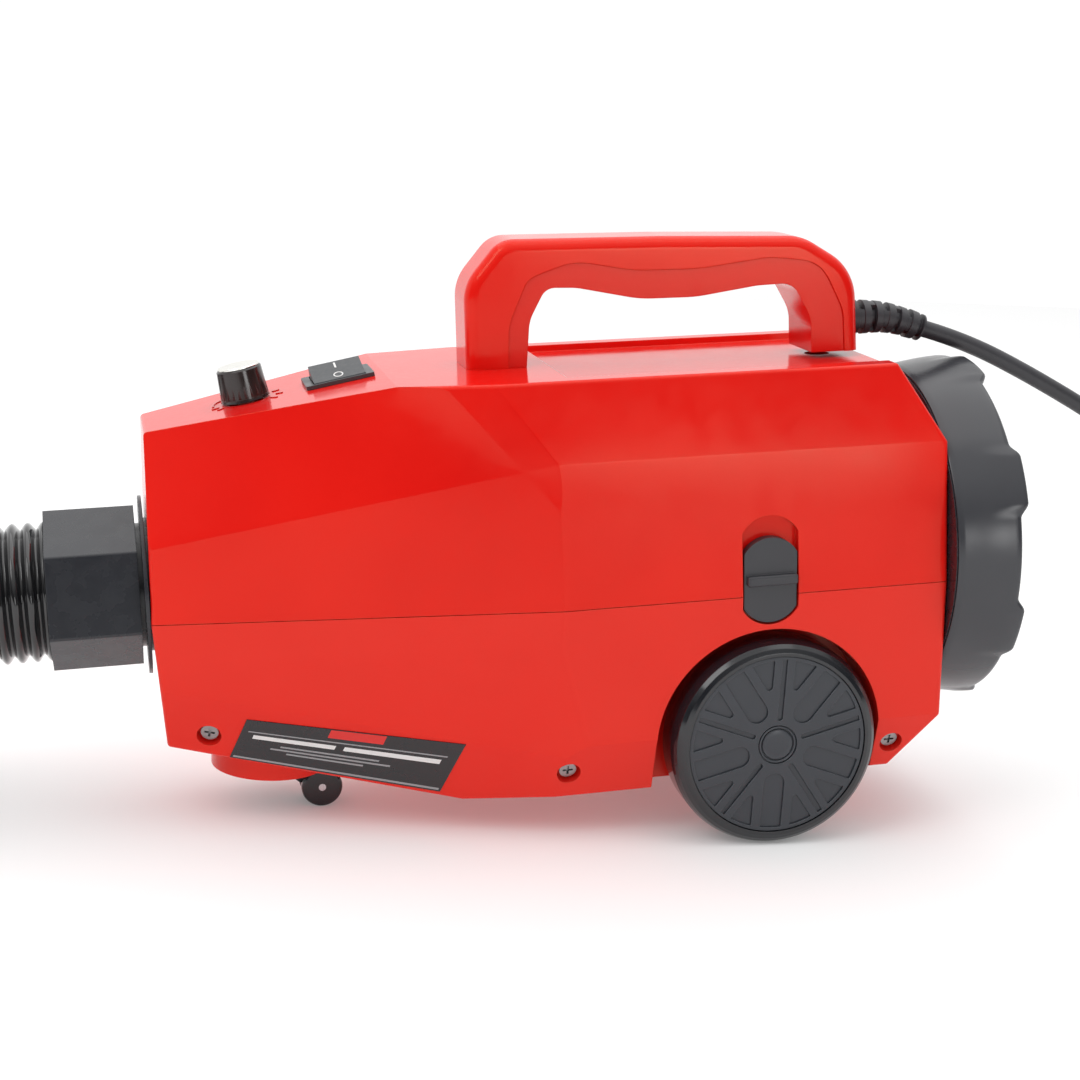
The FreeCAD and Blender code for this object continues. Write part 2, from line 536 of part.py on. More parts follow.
# bayonet ledges inside the bell, behind the ring's lugs
for k in range(3):
    b = revolve_x([(6.4, 75.2), (6.4, 79.5), (8.8, 79.8), (8.8, 75.2)], cx0, CAP_Z)
    wedge = prism_yz([(0, CAP_Z), (-120 * math.sin(math.radians(4)), CAP_Z + 120 * math.cos(math.radians(4))),
                      (120 * math.sin(math.radians(14)), CAP_Z + 120 * math.cos(math.radians(14)))], cx0, cx0 + 30)
    b = b.common(wedge)
    b.rotate(V(0, 0, CAP_Z), V(1, 0, 0), 120 * k + 30)
    cap = cap.fuse(b)
cap = cap.removeSplitter()
add("rear_cap", cap)

# ------------------------------------------------------------------ controls
panel_n = PANEL_S
pot = fuse(box(KNOB_X - 8.5, -8.5, kz - 13.6, KNOB_X + 8.5, 8.5, kz - 3.4), cyl(3.9, 6.2, (KNOB_X, 0, kz - 3.6)), cyl(3.0, 12.7, (KNOB_X, 0, kz - 3.6)))
add("speed_pot", tip(pot, KNOB_X, kz, panel_n))
pn = Part.Face(Part.makePolygon([V(KNOB_X + 6.4 * math.cos(math.radians(60 * k)), 6.4 * math.sin(math.radians(60 * k)), kz + 0.1) for k in range(7)])).extrude(V(0, 0, 2.0)).cut(cyl(3.92, 8, (KNOB_X, 0, kz - 3)))
add("pot_nut", tip(pn, KNOB_X, kz, panel_n))
kb = revolve_z([(0, kz + 3.4), (0, kz + 15.6), (9.4, kz + 15.6), (10.2, kz + 14.8), (11.0, kz + 2.0), (11.2, kz + 0.8), (8.0, kz + 0.8), (8.0, kz + 3.4)], KNOB_X, 0)
kb = kb.cut(cyl(3.05, 8.8, (KNOB_X, 0, kz + 0.5)))
for k in range(24):
    a = math.radians(15 * k)
    g = cyl(0.62, 11.2, (KNOB_X + 11.25 * math.cos(a), 11.25 * math.sin(a), kz + 2.2))
    kb = kb.cut(g)
kb = kb.cut(box(KNOB_X - 0.5, 5.0, kz + 15.0, KNOB_X + 0.5, 12, kz + 17))
add("knob", tip(biggest(kb), KNOB_X, kz, panel_n))
kc = revolve_z([(0, kz + 15.7), (7.8, kz + 16.4), (9.3, kz + 16.4), (9.6, kz + 16.0), (9.6, kz + 15.65), (0, kz + 15.65)], KNOB_X, 0)
add("knob_cap", tip(kc, KNOB_X, kz, panel_n))
# rocker switch: bezel with body, and the rocker on its pin
bz = box(ROCK_X - 15.75, -12.75, rz + 0.05, ROCK_X + 15.75, 12.75, rz + 1.9)
try:
    bz = bz.makeFillet(1.2, [e for e in bz.Edges if e.BoundBox.ZLength > 1.7 and e.BoundBox.XLength < 0.1 and e.BoundBox.YLength < 0.1])
except Exception:
    pass
bz = fuse(bz, box(ROCK_X - 13.5, -11.0, rz - 17.0, ROCK_X + 13.5, 11.0, rz + 0.2))
bz = bz.cut(box(ROCK_X - 12.2, -10.2, rz - 13.0, ROCK_X + 12.2, 10.2, rz + 6)).cut(box(ROCK_X - 12.2, -11.7, rz - 0.8, ROCK_X + 12.2, 11.7, rz + 6))
bz = bz.cut(cyl(1.37, 29, (ROCK_X - 14.5, 0, rz - 3.0), (1, 0, 0)))
tabs = [box(ROCK_X + dx - 0.4, dy - 3.1, rz - 26.0, ROCK_X + dx + 0.4, dy + 3.1, rz - 17.0) for dx in (-7, 7) for dy in (-5.0, 5.0)]
add("switch_body", tip(biggest(bz), ROCK_X, rz, panel_n))
add("switch_tabs", tip(Part.makeCompound(tabs), ROCK_X, rz, panel_n))
# rocker profile across y: flat faced, the far side standing up (switched off)
ROCK_A = 18.5
rk_pts = [(-8.9, rz - 1.0), (-8.9, rz + 4.9), (-8.4, rz + 5.4), (8.4, rz + 5.4), (8.9, rz + 4.9), (8.9, rz - 1.0), (2.6, rz - 7.2), (-2.6, rz - 7.2)]
rk = prism_yz(rk_pts, ROCK_X - 11.9, ROCK_X + 11.9)
rk = fuse(rk, cyl(1.3, 26.6, (ROCK_X - 13.3, 0, rz - 3.0), (1, 0, 0)))
rk.rotate(V(ROCK_X, 0, rz - 3.0), V(1, 0, 0), ROCK_A)
add("rocker", tip(rk, ROCK_X, rz, panel_n))
# the board hangs from the control panel on four posts, above the duct
add("control_board", box(60, -30, 178.6, 104, 30, 180.4))
add("heat_sink", fuse(box(70, -24, 180.5, 96, -20, 195), box(70, -14, 180.5, 96, -10, 195), box(70, -24, 180.5, 96, -10, 183)))
add("board_posts", Part.makeCompound([cyl(2.6, 45.0, (x_, y_, 180.45)).common(body(WALL + 0.02)) for x_ in (64, 101) for y_ in (-25, 25)]))

# ------------------------------------------------------------------ side latches
def latch(sign):
    s = stadium(LATCH_Z0, LATCH_Z1, LATCH_W, -69.6, -65.0)
    rib = box(LATCH_X - 11.6, -72.6, 126.3, LATCH_X + 12.6, -69.4, 131.3)
    try:
        rib = rib.makeFillet(1.4, [e for e in rib.Edges if abs(e.BoundBox.YMin + 72.6) < 0.01 or e.BoundBox.YLength > 3])
    except Exception:
        pass
    hook = box(LATCH_X - 3.9, -65.5, 117.0, LATCH_X + 3.9, -59.5, 131.5)
    foot = box(LATCH_X - 7.0, -61.7, 117.0, LATCH_X + 7.0, -59.5, 131.5)
    r = fuse(s, rib, hook, foot)
    return r if sign < 0 else mirror(r)


add("latch_right", latch(-1))
add("latch_left", latch(1))

# ------------------------------------------------------------------ rear wheels
def wheel(sign):
    r, w = WHEEL_R, WHEEL_W
    # tyre: rounded shoulder, seat for the disc
    pts = [(0.0, 43.0), (0.0, 44.6), (0.8, 46.6), (2.4, 48.3), (4.6, 49.3), (7.0, WHEEL_R), (20.0, WHEEL_R), (23.0, 49.0), (25.4, 47.4),
           (26.6, 45.4), (w, 43.4), (w, 37.0), (24.0, 37.0), (24.0, 39.6), (5.0, 39.6), (5.0, 43.0)]
    t = revolve_y(pts, -WHEEL_Y, AXLE_X, AXLE_Z)
    # hub: disc plate with a barrel
    hb = revolve_y([(0.6, 0.0), (0.6, 42.7), (4.6, 42.7), (4.6, 39.2), (23.6, 39.2), (23.6, 36.2), (6.2, 36.2), (6.2, 11.0), (w, 11.0), (w, 4.1), (9.0, 4.1), (9.0, 0.0)], -WHEEL_Y, AXLE_X, AXLE_Z)
    c = V(AXLE_X, 0, AXLE_Z)

    def pol(rr, deg):
        return (AXLE_X + rr * math.cos(math.radians(deg)), AXLE_Z + rr * math.sin(math.radians(deg)))
    cuts = []
    for k in range(5):
        b0 = 54 - 72 * k
        # wide U pockets
        pk = slab_xz([(AXLE_X + 13.5, AXLE_Z - 4.6, 4.5), (AXLE_X + 41.0, AXLE_Z - 4.9, 0), (AXLE_X + 41.0, AXLE_Z + 4.9, 0), (AXLE_X + 13.5, AXLE_Z + 4.6, 4.5)], -WHEEL_Y - 1, -WHEEL_Y + 1.5)
        pk.rotate(c, V(0, 1, 0), -b0)
        cuts.append(pk)
    for q in cuts:
        hb = hb.cut(q)
    hb = hb.cut(revolve_y([(-1, 7.4), (1.3, 7.4), (1.3, 8.6), (-1, 8.6)], -WHEEL_Y, AXLE_X, AXLE_Z))
    if sign > 0:
        t, hb = mirror(t), mirror(hb)
    return t, hb


for sg, nm in ((-1, "right"), (1, "left")):
    t, hb = wheel(sg)
    add("tyre_" + nm, t)
    add("wheel_disc_" + nm, biggest(hb))
add("axle", cyl(4.0, 128.4, (AXLE_X, -64.2, AXLE_Z), (0, 1, 0)))
add("axle_clips", Part.makeCompound([revolve_y([(0, 4.05), (0, 7.2), (1.2, 7.2), (1.2, 4.05)], y_, AXLE_X, AXLE_Z) for y_ in (-45.9, 44.7)]))
add("axle_bushes", Part.makeCompound([revolve_y([(0, 4.1), (0, 7.0), (4.4, 7.0), (4.4, 4.1)], y_, AXLE_X, AXLE_Z) for y_ in (-40.6, 36.2)]))

# ------------------------------------------------------------------ front caster
# The boss belongs to the case (body frame). Fork, wheel and pin are laid out on the floor
# (world frame) so that the swivel axis is upright.
BOSS_R, BOSS_ZW = 27.5, 20.2         # boss radius and the height of its level rim above the floor
CWR = 9.7                            # caster wheel radius
cw = to_world_pt((CAST_X, 0, 40.0))
CX = cw.x
CTX = CX + 24.5                      # trail: the wheels run behind the swivel
bos_w = cone(BOSS_R, BOSS_R + 1.0, 40.0, (CX, 0, BOSS_ZW)).cut(cyl(24.3, 7.0, (CX, 0, BOSS_ZW - 1)))
bos_w = bos_w.cut(cyl(3.65, 60, (CX, 0, 10)))
bos = to_body(bos_w).cut(body(-0.05).common(box(-10, -60, 0, 130, 60, 130)))
bos = biggest(bos)
bos = bos.fuse(to_body(cone(9.0, 8.0, 14.0, (CX, 0, BOSS_ZW + 6.0)).cut(cyl(3.65, 60, (CX, 0, 10))))).removeSplitter()
add("caster_boss", biggest(bos))
zc = BOSS_ZW + 5.6
add("caster_stem", fuse(cyl(3.6, 18.6, (CX, 0, zc - 3.2)), cyl(5.6, 1.6, (CX, 0, BOSS_ZW + 20.3))), True)
plate = revolve_z([(0, zc - 3.4), (0, zc), (16.0, zc), (16.0, zc - 3.4)], CX, 0).cut(cyl(3.62, 9, (CX, 0, zc - 7)))
neck = prism_xz([(CX - 8.0, zc - 1.5), (CX + 14.5, zc - 1.5), (CX + 17.5, zc - 5.4), (CTX + 5.0, CWR + 5.6), (CTX + 7.2, CWR + 1.5), (CTX + 5.6, CWR - 3.6), (CTX - 3.0, CWR - 5.0), (CX + 6.0, zc - 9.5), (CX - 8.0, zc - 4.6)], -2.9, 2.9)
neck = neck.cut(cyl(3.62, 9, (CX, 0, zc - 7)))
fork = fuse(plate, neck).cut(cyl(1.78, 40, (CTX, -20, CWR), (0, 1, 0)))
add("caster_fork", biggest(fork), True)


def rev_y_w(prof, y0, xc, zc_):
    pts = [V(xc, y0 + y, zc_ + r) for y, r in prof]
    f = Part.Face(Part.makePolygon(pts + [pts[0]]))
    return f.revolve(V(xc, 0, zc_), V(0, 1, 0), 360)


tw = rev_y_w([(0, 1.76), (0, 8.7), (0.5, 9.4), (1.4, CWR), (5.2, CWR), (6.0, 9.3), (6.5, 8.3), (6.5, 1.76)], 3.1, CTX, CWR)
add("caster_wheels", Part.makeCompound([tw, mirror(tw)]), True)
add("caster_pin", cyl(1.74, 19.0, (CTX, -9.5, CWR), (0, 1, 0)), True)

# ------------------------------------------------------------------ rating label on the right skirt
pl = plane3(F0, F1, (136, -48.5, 27.6))
pp, nn = V(*pl[0]), V(*pl[1])


def on_skirt(x, z, off):
    y = pp.y - ((x - pp.x) * nn.x + (z - pp.z) * nn.z) / nn.y
    return V(x, y, z) + nn * off


lab = [(37.0, 74.8), (134.1, 58.9), (123.2, 33.1), (28.9, 54.7)]
w = Part.makePolygon([on_skirt(x, z, 0.02) for x, z in lab] + [on_skirt(lab[0][0], lab[0][1], 0.02)])
add("rating_label", Part.Face(w).extrude(nn * 0.35))

# ------------------------------------------------------------------ mains lead: boot, cord, coil, plug
ex = to_world_pt((HX1 - 1.0, 0, CORD_Z))
exd = V(math.cos(math.radians(TILT)), 0, math.sin(math.radians(TILT)))
print("cord exit", ex)


def route(points, name, diam):
    # straight runs joined by tangent arcs
    P = [V(*p) for p in points]
    n = len(P)
    edges = []
    cur = P[0]
    radii = []
    length = 0.0
    for i in range(1, n - 1):
        a = P[i - 1] - P[i]
        b = P[i + 1] - P[i]
        la, lb = a.Length, b.Length
        a.normalize(); b.normalize()
        turn = math.pi - math.acos(max(-1, min(1, a.dot(b))))
        t = 0.45 * min(la, lb)
        r = t / math.tan(turn / 2)
        radii.append(r)
        s, e = P[i] + a * t, P[i] + b * t
        bis = (a + b).normalize()
        c = P[i] + bis * (r / math.cos(turn / 2))
        m = c - bis * r
        if (s - cur).Length > 1e-4:
            edges.append(Part.LineSegment(cur, s).toShape())
        edges.append(Part.Arc(s, m, e).toShape())
        cur = e
    edges.append(Part.LineSegment(cur, P[-1]).toShape())
    length = sum(e.Length for e in edges)
    print(name, "length", round(length, 1), "radii/d", [round(r / diam, 1) for r in radii], "runs/d", [round((P[i + 1] - P[i]).Length / diam, 1) for i in range(n - 1)])
    w = Part.Wire(edges)
    d0 = (P[1] - P[0]).normalize()
    circ = Part.Wire([Part.Circle(P[0], d0, diam / 2).toShape()])
    sw = w.makePipeShell([circ], True, False)
    print("   volume ratio", round(sw.Volume / (math.pi * diam * diam / 4 * length), 4), sw.isValid())
    return sw, length


def frustum(r1, r2, p, q):
    d = V(*q) - V(*p)
    return Part.makeCone(r1, r2, d.Length, V(*p), d.normalize())


# boot: ribbed sleeve outside the leg, its flange inside
b1 = (ex.x + 38.6, 0, ex.z - 3.6)
boot = frustum(8.4, 6.0, (ex.x + 0.3, 0, ex.z), b1).fuse(Part.makeCylinder(6.4, 6.4, V(ex.x, 0, ex.z) - exd * 6.0, exd))
boot = boot.fuse(Part.makeCylinder(8.2, 1.8, V(ex.x, 0, ex.z) - exd * 5.6, exd))
bdir = (V(*b1) - V(ex.x + 0.3, 0, ex.z)).normalize()
add("cord_boot", boot.removeSplitter(), True)
A = V(*b1) - bdir * 0.02
COIL_X, COIL_Y, COIL_R = 520.0, 62.0, 46.0
COIL_OUT = 54.6                      # centre of the outermost turn, where the lead joins
CORD_ROUTE = [(A.x, 0.0, A.z), (A.x + 23.0, 0.0, A.z - 5.2), (A.x + 63.0, 0.0, A.z - 22.0), (A.x + 116.0, 1.0, A.z - 48.5), (A.x + 168.0, 4.0, A.z - 94.0),
              (A.x + 206.0, 8.0, A.z - 160.0), (A.x + 244.0, 11.0, 31.0), (A.x + 290.0, 9.0, 5.2), (COIL_X, COIL_Y - COIL_OUT, 4.6)]
lead, L1 = route(CORD_ROUTE, "cord", CORD_D)
# coil of the put-away length: four layers of turns lying beside and on each other, tied
coil = revolve_z([(COIL_R - 12.9, 0.3), (COIL_R - 12.9, 34.4), (COIL_R + 12.9, 34.4), (COIL_R + 12.9, 0.3)], COIL_X, COIL_Y)
add("cord_coil", coil, True)
TAIL = [(COIL_X + 50.3, COIL_Y + 2.0, 30.1), (COIL_X + 49.0, COIL_Y + 40.0, 25.0), (COIL_X + 34.0, COIL_Y + 80.0, 10.0), (COIL_X - 4.0, COIL_Y + 108.0, 10.5)]
tail, L2 = route(TAIL, "cord tail", CORD_D)
add("power_cord", Part.makeCompound([lead, tail]), True)
pd = (V(*TAIL[-1]) - V(*TAIL[-2])).normalize()
pd = V(pd.x, pd.y, 0).normalize()
pe = V(*TAIL[-1])
side = V(-pd.y, pd.x, 0)


def plug_box(l0, l1, w, z0, z1):
    p = [pe + pd * l0 + side * (w / 2), pe + pd * l0 - side * (w / 2), pe + pd * l1 - side * (w / 2), pe + pd * l1 + side * (w / 2)]
    p = [V(q.x, q.y, z0) for q in p]
    return Part.Face(Part.makePolygon(p + [p[0]])).extrude(V(0, 0, z1 - z0))


pbody = fuse(Part.makeCone(5.4, 7.2, 18.0, pe + pd * 0.02, pd), plug_box(17.0, 44.0, 24.0, 0.4, 20.6), plug_box(44.0, 49.0, 30.0, 0.4, 22.6))
add("plug_body", pbody, True)
pins = []
for s_ in (1, -1):
    q = pe + pd * 49.0 + side * (6.35 * s_)
    pin = plug_box(49.0, 66.0, 1.6, 9.0, 15.4)
    pin.translate(side * (6.35 * s_))
    pins.append(pin)
pins.append(Part.makeCylinder(2.4, 19.0, V(pe.x, pe.y, 17.8) + pd * 49.0, pd))
add("plug_pins", Part.makeCompound(pins), True)
print("cord in the air and on the floor", round(L1 + L2), "coil", round(8.25 * 2 * math.pi * COIL_R), "whole", round(L1 + L2 + 8.25 * 2 * math.pi * COIL_R))

# ------------------------------------------------------------------ hose and its nozzle
hx = to_world_pt((-46.52, 0, OUT_Z))
hd = V(-math.cos(math.radians(TILT)), 0, -math.sin(math.radians(TILT)))
h0 = hx + hd * 0.0
HOSE_ROUTE = [(h0.x, 0.0, h0.z), (h0.x + hd.x * 118, 0.0, h0.z + hd.z * 118), (h0.x - 232.0, 8.0, 33.2), (h0.x - 356.0, 44.0, 32.6), (h0.x - 456.0, 146.0, 32.6),
              (h0.x - 484.0, 290.0, 32.6), (h0.x - 440.0, 416.0, 32.6), (h0.x - 332.0, 496.0, 32.6), (h0.x - 202.0, 506.0, 32.6)]
hose_o, LH = route(HOSE_ROUTE, "hose", HOSE_D)
hose_i, _ = route(HOSE_ROUTE, "hose bore", HOSE_D - 11.0)
add("hose", hose_o.cut(hose_i), True)
he, hp = V(*HOSE_ROUTE[-1]), V(*HOSE_ROUTE[-2])
hn = (he - hp).normalize()
noz = []


def turned(profile, base, axis):
    pts = [V(r, 0, z) for r, z in profile]
    f = Part.Face(Part.makePolygon(pts + [pts[0]])).revolve(V(0, 0, 0), V(0, 0, 1), 360)
    f.Placement = Placement(base, Rotation(V(0, 0, 1), axis))
    return f


# the collar ends at the hose's mouth; the nozzle lies on the floor on its lower edge
nozzle = turned([(26.6, 0.0), (32.4, 0.0), (32.4, 30.0), (30.5, 34.0), (15.5, 118.0), (15.5, 134.0), (12.5, 134.0), (12.5, 117.0), (26.6, 34.0)], he + hn * 0.02, hn)
add("hose_nozzle", nozzle, True)
print("hose length", round(LH))

# ------------------------------------------------------------------ write everything
for name, s in NODES.items():
    t = s if name in WORLD else to_world(s)
    if not t.isValid():
        print("INVALID", name)
    if t.Volume <= 0:
        print("EMPTY", name, t.Volume)
    t.exportStep("parts/%s.step" % name)
    bb = t.BoundBox
    print("%-18s n=%d vol %9.0f  x %.1f..%.1f y %.1f..%.1f z %.1f..%.1f" % (name, len(t.Solids), t.Volume, bb.XMin, bb.XMax, bb.YMin, bb.YMax, bb.ZMin, bb.ZMax))
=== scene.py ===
import bpy
import math
from mathutils import Vector, Matrix


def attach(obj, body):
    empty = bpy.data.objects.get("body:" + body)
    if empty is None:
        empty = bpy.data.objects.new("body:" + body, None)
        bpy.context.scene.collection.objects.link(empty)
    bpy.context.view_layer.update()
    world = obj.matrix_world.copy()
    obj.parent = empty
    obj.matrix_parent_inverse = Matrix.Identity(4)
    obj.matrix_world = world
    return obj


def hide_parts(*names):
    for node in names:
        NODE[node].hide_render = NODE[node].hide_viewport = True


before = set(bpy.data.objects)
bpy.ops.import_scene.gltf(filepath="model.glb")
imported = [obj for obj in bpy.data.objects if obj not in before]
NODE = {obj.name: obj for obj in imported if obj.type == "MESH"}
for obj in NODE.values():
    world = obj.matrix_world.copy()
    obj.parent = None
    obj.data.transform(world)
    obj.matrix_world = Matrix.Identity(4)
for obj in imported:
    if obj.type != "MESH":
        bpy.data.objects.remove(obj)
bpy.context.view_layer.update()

# ------------------------------------------------------------------ shared geometry: the body frame and its lean
TILT = math.radians(4.6)
AX, AZ, SX, SZ = 0.2788, 0.0496, -0.17155, 0.0004
CT, ST = math.cos(TILT), math.sin(TILT)


def bw(x, y, z):
    """A point of the case's own frame (metres) in the row frame."""
    dx, dz = x - AX, z - AZ
    return Vector((AX + dx * CT - dz * ST + SX, y, AZ + dx * ST + dz * CT + SZ))


def bd(x, y, z):
    return Vector((x * CT - z * ST, y, x * ST + z * CT))


# ------------------------------------------------------------------ materials
def new_mat(name):
    m = bpy.data.materials.new(name)
    m.use_nodes = True
    nt = m.node_tree
    nt.nodes.clear()
    out = nt.nodes.new("ShaderNodeOutputMaterial")
    b = nt.nodes.new("ShaderNodeBsdfPrincipled")
    nt.links.new(b.outputs[0], out.inputs[0])
    return m, nt, b


def noise(nt, coord, scale, detail=4.0, rough=0.55):
    n = nt.nodes.new("ShaderNodeTexNoise")
    n.inputs["Scale"].default_value = scale
    n.inputs["Detail"].default_value = detail
    n.inputs["Roughness"].default_value = rough
    nt.links.new(coord, n.inputs["Vector"])
    return n.outputs[0]


def maprange(nt, src, a, b, c, d):
    n = nt.nodes.new("ShaderNodeMapRange")
    for k, v in zip(("From Min", "From Max", "To Min", "To Max"), (a, b, c, d)):
        n.inputs[k].default_value = v
    nt.links.new(src, n.inputs["Value"])
    return n.outputs[0]


def math2(nt, op, a, b):
    n = nt.nodes.new("ShaderNodeMath")
    n.operation = op
    for i, v in enumerate((a, b)):
        if isinstance(v, (int, float)):
            n.inputs[i].default_value = v
        else:
            nt.links.new(v, n.inputs[i])
    return n.outputs[0]


def surface(name, col, rough, metallic=0.0, coat=0.0, coat_r=0.04, spec=0.5, var=0.05, scale=25.0, rvar=0.05, grain=0.0, grain_scale=1500.0,
            wave=0.0, wave_scale=90.0, edge=0.0, edge_r=0.0008, edge_col=None, dust=0.0, aniso=0.0, sheen=0.0, specks=0.0, alt=None, tint=None):
    """Procedural finish: colour drift, uneven gloss, fine grain, slow waviness, rounded edges with a lighter edge line
    that is partly wear and partly painted highlight, dust that settles on top.
    """
    m, nt, b = new_mat(name)
    L = nt.links
    tc = nt.nodes.new("ShaderNodeTexCoord")
    co = tc.outputs["Object"]
    n1 = noise(nt, co, scale, 5.0)
    v = maprange(nt, n1, 0.3, 0.7, 1.0 - var, 1.0 + var)
    hs = nt.nodes.new("ShaderNodeHueSaturation")
    hs.inputs["Color"].default_value = (*col, 1.0)
    L.new(v, hs.inputs["Value"])
    colour = hs.outputs[0]
    if alt is not None:
        # a second tone in slow patches
        n5 = noise(nt, co, scale * 0.35, 2.0)
        mx = nt.nodes.new("ShaderNodeMixRGB")
        L.new(maprange(nt, n5, 0.42, 0.62, 0.0, 1.0), mx.inputs[0])
        L.new(colour, mx.inputs[1])
        mx.inputs[2].default_value = (*alt, 1.0)
        colour = mx.outputs[0]
    n2 = noise(nt, co, scale * 4.0, 3.0)
    r = maprange(nt, n2, 0.3, 0.7, max(rough - rvar, 0.01), rough + rvar)
    normal = None
    if edge_r > 0 and edge > 0:
        bv = nt.nodes.new("ShaderNodeBevel")
        bv.samples = 4
        bv.inputs["Radius"].default_value = edge_r
        normal = bv.outputs[0]
        geo = nt.nodes.new("ShaderNodeNewGeometry")
        dp = nt.nodes.new("ShaderNodeVectorMath")
        dp.operation = "DOT_PRODUCT"
        L.new(bv.outputs[0], dp.inputs[0])
        L.new(geo.outputs["True Normal"], dp.inputs[1])
        # painted highlight: every edge, concave ones too, is lightened towards the edge colour along a thin bevel mask;
        # noise breaks it up as wear
        edge_highlight_mask = maprange(nt, dp.outputs["Value"], 0.999, 0.90, 0.0, edge)
        edge_wear_and_painted_highlight = math2(nt, "MULTIPLY", edge_highlight_mask, maprange(nt, noise(nt, co, 160.0, 3.0), 0.35, 0.6, 0.25, 1.0))
        mx = nt.nodes.new("ShaderNodeMixRGB")
        L.new(edge_wear_and_painted_highlight, mx.inputs[0])
        L.new(colour, mx.inputs[1])
        mx.inputs[2].default_value = (*(edge_col or tuple(min(1.0, c * 1.5 + 0.02) for c in col)), 1.0)
        colour = mx.outputs[0]
    if dust > 0:
        geo2 = nt.nodes.new("ShaderNodeNewGeometry")
        sp = nt.nodes.new("ShaderNodeSeparateXYZ")
        L.new(geo2.outputs["Normal"], sp.inputs[0])
        up = maprange(nt, sp.outputs[2], 0.2, 0.95, 0.0, 1.0)
        dn = maprange(nt, noise(nt, co, 340.0, 6.0, 0.7), 0.45, 0.75, 0.0, dust)
        dm = math2(nt, "MULTIPLY", up, dn)
        mx = nt.nodes.new("ShaderNodeMixRGB")
        L.new(dm, mx.inputs[0])
        L.new(colour, mx.inputs[1])
        mx.inputs[2].default_value = (0.62, 0.58, 0.55, 1.0)
        colour = mx.outputs[0]
        r = math2(nt, "ADD", r, math2(nt, "MULTIPLY", dm, 0.5))
    if specks > 0:
        vo = nt.nodes.new("ShaderNodeTexVoronoi")
        vo.inputs["Scale"].default_value = 900.0
        L.new(co, vo.inputs["Vector"])
        sm = maprange(nt, vo.outputs[0], 0.0, 0.16, specks, 0.0)
        mx = nt.nodes.new("ShaderNodeMixRGB")
        L.new(sm, mx.inputs[0])
        L.new(colour, mx.inputs[1])
        mx.inputs[2].default_value = (*tuple(min(1.0, c * 2.6 + 0.02) for c in col), 1.0)
        colour = mx.outputs[0]
    L.new(colour, b.inputs["Base Color"])
    L.new(r, b.inputs["Roughness"])
    h = None
    if wave > 0:
        bp = nt.nodes.new("ShaderNodeBump")
        bp.inputs["Strength"].default_value = wave
        bp.inputs["Distance"].default_value = 0.0006
        L.new(noise(nt, co, wave_scale, 1.0), bp.inputs["Height"])
        if normal is not None:
            L.new(normal, bp.inputs["Normal"])
        normal = bp.outputs[0]
    if grain > 0:
        bp = nt.nodes.new("ShaderNodeBump")
        bp.inputs["Strength"].default_value = grain
        bp.inputs["Distance"].default_value = 0.00012
        L.new(noise(nt, co, grain_scale, 2.0), bp.inputs["Height"])
        if normal is not None:
            L.new(normal, bp.inputs["Normal"])
        normal = bp.outputs[0]
    if normal is not None:
        L.new(normal, b.inputs["Normal"])
    b.inputs["Metallic"].default_value = metallic
    b.inputs["Specular IOR Level"].default_value = spec
    b.inputs["Coat Weight"].default_value = coat
    b.inputs["Coat Roughness"].default_value = coat_r
    b.inputs["Anisotropic"].default_value = aniso
    b.inputs["Sheen Weight"].default_value = sheen
    if tint is not None:
        b.inputs["Specular Tint"].default_value = (*tint, 1.0)
    return m


